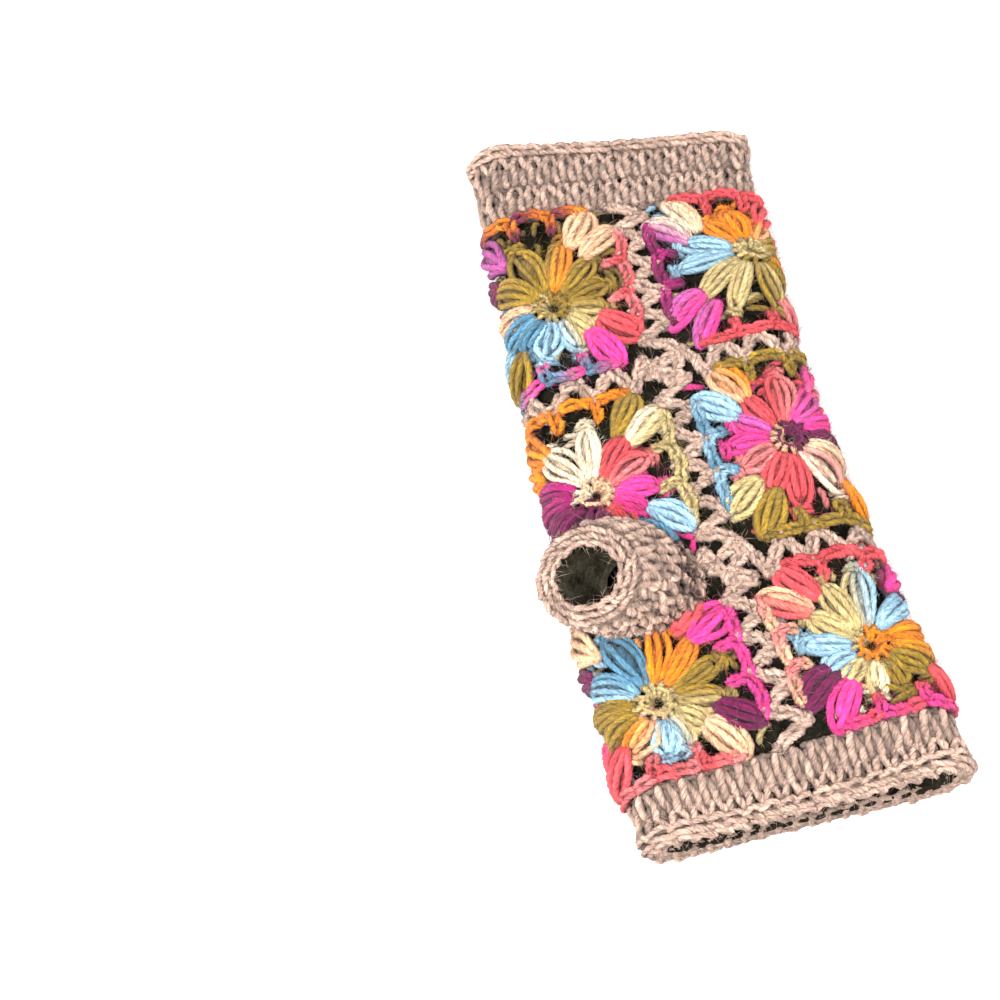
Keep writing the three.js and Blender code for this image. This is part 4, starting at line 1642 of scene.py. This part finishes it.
@dataclass
class ThumbSleeve:
    """The thumb sleeve's bulky stitches and the braid round its mouth."""

    ground: ThumbGround
    bands: int = 3
    top: float = 0.9
    stitches: int = 17
    hoop_radius: float = 1.4
    hoop_lift: float = 1.5
    hairs: int = 3600
    braid_hairs: int = 1200

    def build_sleeve(self, seed: int, finish: bpy.types.Material) -> bpy.types.Object:
        """Works the sleeve.

        Args:
            seed: Seed of its unevenness.
            finish: Its material.

        Returns:
            The finished piece.
        """
        basket = Basket("thumb_sleeve_stitches", seed)
        ground = self.ground
        pitch = ground.around / self.stitches
        height = ground.long * self.top / self.bands
        stitch = TallStitch(pitch, height, 1.5, 1.35, lean=0.3, lift=2.5, leg_share=0.42, unevenness=0.7)
        for band in range(self.bands):
            for number in range(self.stitches):
                x = (number + 0.5 * (band % 2) + basket.random.uniform(-0.14, 0.14)) * pitch
                low = ground.long * self.top - band * height + basket.random.uniform(-0.7, 0.7)
                stitch.work(basket, ground, x, -low, -1.0, PLAIN_TAUPE)
            for share in (0.05, 0.35, 0.65, 0.95):
                along = (band + share) * height
                hoop = [[x, along, self.hoop_lift] for x in np.linspace(0, ground.around, 50)]
                # The hoops lie under the stitches and are darkened by painted shade.
                basket.lay(
                    ground, hoop, self.hoop_radius, PLAIN_TAUPE, painted_shade=0.75, spacing=3.0, plied=False
                )
        basket.fray(self.hairs)
        piece = basket.weave(finish)
        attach(piece, "root")
        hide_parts("thumb_sleeve")
        return piece

    def build_braid(self, seed: int, finish: bpy.types.Material) -> bpy.types.Object:
        """Works the braid round the mouth.

        Args:
            seed: Seed of its unevenness.
            finish: Its material.

        Returns:
            The finished piece.
        """
        # The braid's strands get painted shade on their inner sides only, none for lying low.
        basket = Basket("thumb_edge_braid", seed, size=YarnSize(under_shade=0.4, deep_shade=1.0))
        ground = MouthGround(self.ground)
        turns = np.linspace(0, ground.around, 60)
        for radius, rise, roll in ((11.4, 0.0, 0.1), (14.2, -1.8, -0.9)):
            chain = Chain(4.8, 4.8, 1.0, roll, unevenness=0.25)
            chain.work(basket, ground, [[x, radius, rise] for x in turns], PLAIN_TAUPE)
        # The cores lie under the chains and are darkened by painted shade.
        for radius, rise in ((12.4, -1.6), (13.8, -3.4)):
            core = [[x, radius, rise] for x in turns]
            basket.lay(ground, core, 1.6, PLAIN_TAUPE, painted_shade=0.8, spacing=2.5, plied=False)
        basket.fray(self.braid_hairs)
        piece = basket.weave(finish)
        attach(piece, "root")
        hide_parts("thumb_edge")
        return piece


@dataclass
class Fleece:
    """The fleece that lines the hand and the thumb."""

    tube: Tube
    thumb: ThumbGround
    wall: float = 1.8
    inset: float = 1.6
    around_steps: int = 100
    along_steps: int = 92
    thumb_around_steps: int = 48
    thumb_along_steps: int = 22
    thumb_share: float = 0.96
    under_gap: float = 0.15
    thumb_gap: float = 0.1
    hole_inset: float = 0.8
    hole_pull: float = 1.7
    merge: float = 0.05
    middle_height: float = 14.0
    nap: float = 0.12
    # Painted shade: the hand's fleece, seen only through gaps in the crochet, is darkened to covered_shade;
    # the thumb's fleece, seen in its open mouth, to open_shade.
    covered_shade: float = 0.12
    open_shade: float = 0.4

    def build_hand(
        self, seed: int, finish: bpy.types.Material
    ) -> bpy.types.Object:
        """Sews the fleece of the hand.

        Args:
            seed: Seed of its unevenness.
            finish: Its material.

        Returns:
            The finished piece.
        """
        tube = self.tube
        start = float(tube.course_after(0.0, np.array([self.inset]))[0])
        end = float(tube.course_after(5.0, np.array([-self.inset]))[0])
        built = bmesh.new()
        bmesh.ops.create_grid(
            built, x_segments=self.around_steps, y_segments=self.along_steps, size=0.5
        )
        flat = np.array([vertex.co for vertex in built.verts])
        girth = flat[:, 0] + 0.5
        course = start + (flat[:, 1] + 0.5) * (end - start)
        middle = np.full_like(course, 0.5)
        around = tube.girth_at(self.thumb.root_course)
        root = tube.course_place(np.array([self.thumb.root_course]), np.array([0.5]))[0]
        across = ((girth - self.thumb.root_girth + 0.5) % 1.0 - 0.5) * around
        along = tube.course_place(course, middle) - root
        away = np.hypot(across, along)
        hole = self.thumb.inner - self.hole_inset
        near = (away >= hole) & (away < hole + self.hole_pull)
        pull = np.where(near, hole / np.maximum(away, 1.0), 1.0)
        girth = girth + across * (pull - 1.0) / around
        course = course + along * (pull - 1.0) / (along[-1] - along[0]) * (end - start)
        places = tube.place(girth, course, np.full_like(girth, -self.under_gap))
        for vertex, place in zip(built.verts, places):
            vertex.co = Vector(place * MILLIMETRE)
        inside = [vertex for vertex, far in zip(list(built.verts), away) if far < hole]
        bmesh.ops.delete(built, geom=inside, context="VERTS")
        bmesh.ops.remove_doubles(built, verts=built.verts, dist=self.merge * MILLIMETRE)
        flat_size = (tube.girth_at(2.5) * MILLIMETRE, float(along.max() - along.min()) * MILLIMETRE)
        piece = self._thicken(built, "hand_fleece", seed, finish, self.covered_shade)
        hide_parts("lining")
        return piece

    def build_thumb(
        self, seed: int, finish: bpy.types.Material
    ) -> bpy.types.Object:
        """Sews the fleece of the thumb.

        Args:
            seed: Seed of its unevenness.
            finish: Its material.

        Returns:
            The finished piece.
        """
        built = bmesh.new()
        bmesh.ops.create_grid(
            built, x_segments=self.thumb_around_steps, y_segments=self.thumb_along_steps, size=0.5
        )
        flat = np.array([vertex.co for vertex in built.verts])
        around = (flat[:, 0] + 0.5) * self.thumb.around
        along = (flat[:, 1] + 0.5) * self.thumb.long * self.thumb_share
        lift = np.full_like(along, -self.thumb.gap - self.thumb_gap)
        places = self.thumb.lay(np.stack([around, along, lift], axis=1))
        for vertex, place in zip(built.verts, places):
            vertex.co = Vector(place * MILLIMETRE)
        bmesh.ops.remove_doubles(built, verts=built.verts, dist=self.merge * MILLIMETRE)
        radius = self.thumb.bore / 2 + self.wall / 2
        long = sum(face.calc_area() for face in built.faces) / (2 * math.pi * radius * MILLIMETRE)
        piece = self._thicken(built, "thumb_fleece", seed, finish, self.open_shade)
        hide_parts("thumb_lining")
        return piece

    def _thicken(
        self,
        built: bmesh.types.BMesh,
        name: str,
        seed: int,
        finish: bpy.types.Material,
        painted_shade: float,
    ) -> bpy.types.Object:
        """Args:
            built: The surface, which is used up.
            name: Name of the piece.
            seed: Seed of its unevenness.
            finish: Its material.
            painted_shade: Painted shade of its nap, as a brightness.

        Returns:
            The finished piece.
        """
        built.normal_update()
        middle = self.middle_height * MILLIMETRE
        outward = sum(
            vertex.normal.z * (vertex.co.z - middle) + vertex.normal.x * vertex.co.x
            for vertex in built.verts
        )
        if outward < 0:
            bmesh.ops.reverse_faces(built, faces=built.faces)
            built.normal_update()
        inner = bmesh.ops.extrude_face_region(built, geom=built.faces[:], use_keep_orig=True)
        built.normal_update()
        for vertex in (part for part in inner["geom"] if isinstance(part, bmesh.types.BMVert)):
            vertex.co -= vertex.normal * (self.wall * MILLIMETRE)
        bmesh.ops.recalc_face_normals(built, faces=built.faces)
        random = np.random.default_rng(seed)
        ripple = random.normal(0, self.nap * MILLIMETRE, len(built.verts))
        for vertex, rise in zip(built.verts, ripple):
            vertex.co += vertex.normal * float(rise)
        mesh = bpy.data.meshes.new(name)
        built.to_mesh(mesh)
        built.free()
        # Painted shade: the whole fleece is darkened by one factor, kept in its dye attribute.
        painted_shade_tint = np.tile(np.array([painted_shade, painted_shade, painted_shade, 1.0], dtype=np.float32), len(mesh.vertices))
        dye = mesh.attributes.new("dye", "FLOAT_COLOR", "POINT")
        dye.data.foreach_set("color", painted_shade_tint)
        mesh.materials.append(finish)
        mesh.shade_smooth()
        piece = add_object(name, mesh)
        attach(piece, "root")
        return piece


class Shader:
    """Builds one material's nodes from Python expressions."""

    def __init__(self, name: str) -> None:
        """Starts an empty material.

        Args:
            name: Name of the material.
        """
        self.material = bpy.data.materials.new(name)
        self.material.use_nodes = True
        self.tree = self.material.node_tree
        self.tree.nodes.clear()

    def node(
        self,
        kind: str,
        settings: dict[str, Any] | None = None,
        values: dict[Any, Any] | None = None,
    ) -> bpy.types.Node:
        """Adds a node.

        Args:
            kind: Its type.
            settings: Its settings, where stops are a ramp's places and colours.
            values: Values or links of its sockets, by name or number.

        Returns:
            The node.
        """
        node = self.tree.nodes.new(kind)
        for key, value in (settings or {}).items():
            if key == "stops":
                for element, (place, colour) in zip(node.color_ramp.elements, value):
                    element.position, element.color = place, colour
            else:
                setattr(node, key, value)
        for key, value in (values or {}).items():
            if isinstance(value, Wire):
                self.tree.links.new(value.socket, node.inputs[key])
            else:
                node.inputs[key].default_value = value
        return node

    def wire(self, node: bpy.types.Node, output: Any = 0) -> "Wire":
        """Wraps an output of a node."""
        return Wire(self, node.outputs[output])

    def mix(self, factor: Any, first: Any, second: Any, blend: str = "MIX") -> "Wire":
        """Mixes two colours.

        Args:
            factor: Share of the second one.
            first: First colour.
            second: Second colour.
            blend: How they mix.

        Returns:
            The mixed colour.
        """
        settings = {"data_type": "RGBA", "blend_type": blend}
        node = self.node("ShaderNodeMix", settings, {0: factor, 6: first, 7: second})
        return self.wire(node, 2)

    def attribute(self, name: str, output: str) -> "Wire":
        """Reads an attribute of the mesh."""
        return self.wire(self.node("ShaderNodeAttribute", {"attribute_name": name}), output)

    def noise(self, place: "Wire", scale: float, detail: float, roughness: float = 0.5) -> "Wire":
        """Adds a noise pattern."""
        values = {"Vector": place, "Scale": scale, "Detail": detail, "Roughness": roughness}
        return self.wire(self.node("ShaderNodeTexNoise", None, values))

    def bump(self, height: "Wire", strength: float, distance: float) -> "Wire":
        """Turns a height into a bumpy normal."""
        values = {"Strength": strength, "Distance": distance, "Height": height}
        return self.wire(self.node("ShaderNodeBump", None, values))

    def surface(self, values: dict[str, Any]) -> bpy.types.Material:
        """Ends the material with a Principled surface.

        Args:
            values: Values or links of the surface's sockets.

        Returns:
            The finished material.
        """
        surface = self.node("ShaderNodeBsdfPrincipled", None, values)
        self.node("ShaderNodeOutputMaterial", None, {"Surface": self.wire(surface)})
        return self.material


class Wire:
    """A socket that takes part in Python expressions on values."""

    def __init__(self, shader: Shader, socket: bpy.types.NodeSocket) -> None:
        """Wraps a socket of a shader."""
        self.shader = shader
        self.socket = socket

    def _math(self, operation: str, first: Any, second: Any = 0.0) -> "Wire":
        """Adds a Math node."""
        node = self.shader.node("ShaderNodeMath", {"operation": operation}, {0: first, 1: second})
        return self.shader.wire(node)

    def __add__(self, other: Any) -> "Wire":
        """Sum."""
        return self._math("ADD", self, other)

    def __radd__(self, other: Any) -> "Wire":
        """Sum, reflected."""
        return self._math("ADD", other, self)

    def __sub__(self, other: Any) -> "Wire":
        """Difference."""
        return self._math("SUBTRACT", self, other)

    def __rsub__(self, other: Any) -> "Wire":
        """Difference, reflected."""
        return self._math("SUBTRACT", other, self)

    def __mul__(self, other: Any) -> "Wire":
        """Product."""
        return self._math("MULTIPLY", self, other)

    def __rmul__(self, other: Any) -> "Wire":
        """Product, reflected."""
        return self._math("MULTIPLY", other, self)

    def above(self, least: float) -> "Wire":
        """The larger of this and a least value."""
        return self._math("MAXIMUM", self, least)

    def __pow__(self, other: Any) -> "Wire":
        """Power."""
        return self._math("POWER", self, other)

    def __abs__(self) -> "Wire":
        """Absolute value."""
        return self._math("ABSOLUTE", self)


@dataclass(frozen=True)
class WoolFinish:
    """Soft plied wool: streaky fibres along the strand and painted shade in the groove between the plies."""

    stretch: tuple[float, float, float] = (0.26, 1.5, 1.5)
    scale: float = 2.2
    streak: float = 4.4
    mottle: float = 1.3
    # strength of the painted shade in the ply groove
    groove: float = 0.2
    bump: float = 0.9
    bump_distance: float = 0.9 * MILLIMETRE
    roughness: float = 0.93
    specular: float = 0.15
    sheen: float = 0.15
    brightness: float = 1.06
    broad_share: float = 0.3

    def material(self, name: str) -> bpy.types.Material:
        """Makes the material.

        Args:
            name: Its name.

        Returns:
            The material.
        """
        shader = Shader(name)
        # The dye attribute holds the dye times the strands' painted shade.
        dye = shader.attribute("dye", "Color")
        fibre = shader.attribute("fibre", "Vector")
        scaled = shader.node("ShaderNodeVectorMath", {"operation": "MULTIPLY"}, {0: fibre, 1: self.stretch})
        stretched = shader.wire(scaled)
        streaks = shader.noise(stretched, self.scale, 4.0, 0.75) - 0.5
        broad = shader.noise(stretched, self.scale * self.broad_share, 1.0) - 0.5
        parts = shader.node("ShaderNodeSeparateXYZ", None, {0: fibre})
        ply = abs(shader.wire(parts, 1))
        groove = (1.0 - ply).above(0.0) ** 2.0
        # Painted shade: the base colour darkens in the groove between the plies; streaks and mottle are the
        # fibres' own tone.
        light = self.brightness + streaks * self.streak + broad * self.mottle - groove * self.groove
        grey = shader.node("ShaderNodeCombineColor", None, {0: light, 1: light, 2: light})
        height = streaks - groove * 0.5
        return shader.surface(
            {
                "Base Color": shader.mix(1.0, dye, shader.wire(grey), "MULTIPLY"),
                "Roughness": self.roughness,
                "Specular IOR Level": self.specular,
                "Sheen Weight": self.sheen,
                "Sheen Roughness": 0.5,
                "Normal": shader.bump(height, self.bump, self.bump_distance),
            }
        )


@dataclass(frozen=True)
class FleeceFinish:
    """Matted grey-green fleece with a short nap."""

    light: tuple[float, float, float, float] = (0.160, 0.145, 0.100, 1.0)
    dark: tuple[float, float, float, float] = (0.025, 0.021, 0.014, 1.0)
    light_from: float = 0.9
    dark_from: float = 0.5
    scale: float = 900.0
    bump: float = 0.9
    bump_distance: float = 0.8 * MILLIMETRE
    roughness: float = 0.95
    specular: float = 0.02

    def material(self, name: str) -> bpy.types.Material:
        """Makes the material.

        Args:
            name: Its name.

        Returns:
            The material.
        """
        shader = Shader(name)
        place = shader.wire(shader.node("ShaderNodeTexCoord"), "Object")
        # The dye attribute holds the fleece's painted shade.
        painted_fleece_shade = shader.attribute("dye", "Color")
        fine = shader.noise(place, self.scale, 6.0, 0.75)
        tufts = shader.noise(place, self.scale / 4, 3.0)
        height = fine * 0.6 + tufts * 0.8
        stops = ((self.dark_from, self.dark), (self.light_from, self.light))
        ramp = shader.node("ShaderNodeValToRGB", {"stops": stops}, {0: height})
        return shader.surface(
            {
                "Base Color": shader.mix(1.0, shader.wire(ramp), painted_fleece_shade, "MULTIPLY"),
                "Roughness": self.roughness,
                "Specular IOR Level": self.specular,
                "Normal": shader.bump(height, self.bump, self.bump_distance),
            }
        )


@dataclass
class Studio:
    """A pale floor, soft light and the camera."""

    azimuth: float = -11.5
    elevation: float = 58.24
    distance: float = 0.648
    focal: float = 2044.0
    frame_width: float = 1000.0
    sensor: float = 36.0
    target: tuple[float, float, float] = (-0.0631, 0.0019, 0.0)
    sky: float = 0.42
    paper: float = 0.9
    floor_size: float = 6.0

    def build(self, tube: Tube) -> None:
        """Sets the studio round the glove.

        Args:
            tube: The glove's tube, whose shift the camera follows.
        """
        self._floor()
        self._light("key", (-0.45, -0.75, 1.25), 0.6, 52.0, (1.0, 0.975, 0.95))
        self._light("fill", (0.9, 0.5, 1.2), 1.4, 12.0, (0.96, 0.98, 1.0))
        world = bpy.data.worlds.new("studio")
        world.use_nodes = True
        background = world.node_tree.nodes["Background"]
        background.inputs[0].default_value = (1.0, 1.0, 1.0, 1.0)
        background.inputs[1].default_value = self.sky
        scene = bpy.context.scene
        scene.world = world
        scene.view_settings.view_transform = "Standard"
        camera = bpy.data.cameras.new("camera")
        camera.sensor_width = self.sensor
        camera.lens = self.focal * self.sensor / self.frame_width
        camera_object = add_object("camera", camera)
        target = Vector(self.target) + Vector((tube.shift * MILLIMETRE, 0.0, 0.0))
        turn, rise = math.radians(self.azimuth), math.radians(self.elevation)
        flat = math.cos(rise)
        back = Vector((math.sin(turn) * flat, -math.cos(turn) * flat, math.sin(rise)))
        camera_object.location = target + back * self.distance
        camera_object.rotation_euler = back.to_track_quat("Z", "Y").to_euler()
        scene.camera = camera_object

    def _floor(self) -> None:
        """Lays the floor."""
        built = bmesh.new()
        bmesh.ops.create_grid(built, x_segments=1, y_segments=1, size=self.floor_size / 2)
        mesh = bpy.data.meshes.new("floor")
        built.to_mesh(mesh)
        built.free()
        white = (self.paper, self.paper, self.paper, 1.0)
        finish = {"Base Color": white, "Roughness": 0.9, "Specular IOR Level": 0.1}
        mesh.materials.append(Shader("paper").surface(finish))
        floor = add_object("floor", mesh)

    def _light(
        self,
        name: str,
        place: tuple[float, float, float],
        size: float,
        power: float,
        colour: tuple[float, float, float],
    ) -> None:
        """Hangs a soft light that faces the glove.

        Args:
            name: Its name.
            place: Where it hangs, in metres.
            size: Its width, in metres.
            power: Its power, in watts.
            colour: Its colour.
        """
        light = bpy.data.lights.new(name, "AREA")
        light.size = size
        light.energy = power
        light.color = colour
        lamp = add_object(name, light)
        lamp.location = place
        lamp.rotation_euler = Vector(place).to_track_quat("Z", "Y").to_euler()


def main() -> None:
    """Builds the hand warmer piece by piece."""
    logging.basicConfig(level=logging.INFO, format="%(message)s")
    tube = Tube()
    thumb = ThumbGround(tube)
    Studio().build(tube)
    wool = WoolFinish().material("wool")
    fleece = FleeceFinish().material("fleece")
    pieces = []
    seed = 11
    for row in Row:
        for column in Column:
            seed += 1
            pieces.append(FlowerSquare(tube, row, column, thumb).build(seed, wool))
    net = JoiningNet(tube, thumb).build(41, wool)
    pieces.append(net)
    pieces.append(Cuff(tube, "finger_cuff", 1.0, 0.0, 1, 5.0).build(51, wool))
    pieces.append(Cuff(tube, "wrist_cuff", 4.0, 5.0, 2, 5.0).build(52, wool))
    pieces.append(ChainEdge(tube, "finger_edge", 0.0, 1.0, tuck=2.6).build(53, wool))
    pieces.append(ChainEdge(tube, "wrist_edge", 5.0, -1.0).build(54, wool))
    sleeve = ThumbSleeve(thumb)
    sleeve_stitches = sleeve.build_sleeve(61, wool)
    pieces.append(sleeve_stitches)
    pieces.append(sleeve.build_braid(62, wool))
    lining = Fleece(tube, thumb)
    pieces.append(lining.build_hand(71, fleece))
    pieces.append(lining.build_thumb(72, fleece))
    total = 0
    for piece in pieces:
        piece.data.calc_loop_triangles()
        total += len(piece.data.loop_triangles)
        LOG.info("%s: %d triangles", piece.name, len(piece.data.loop_triangles))
    LOG.info("all: %d triangles", total)


if __name__ == "__main__":
    main()
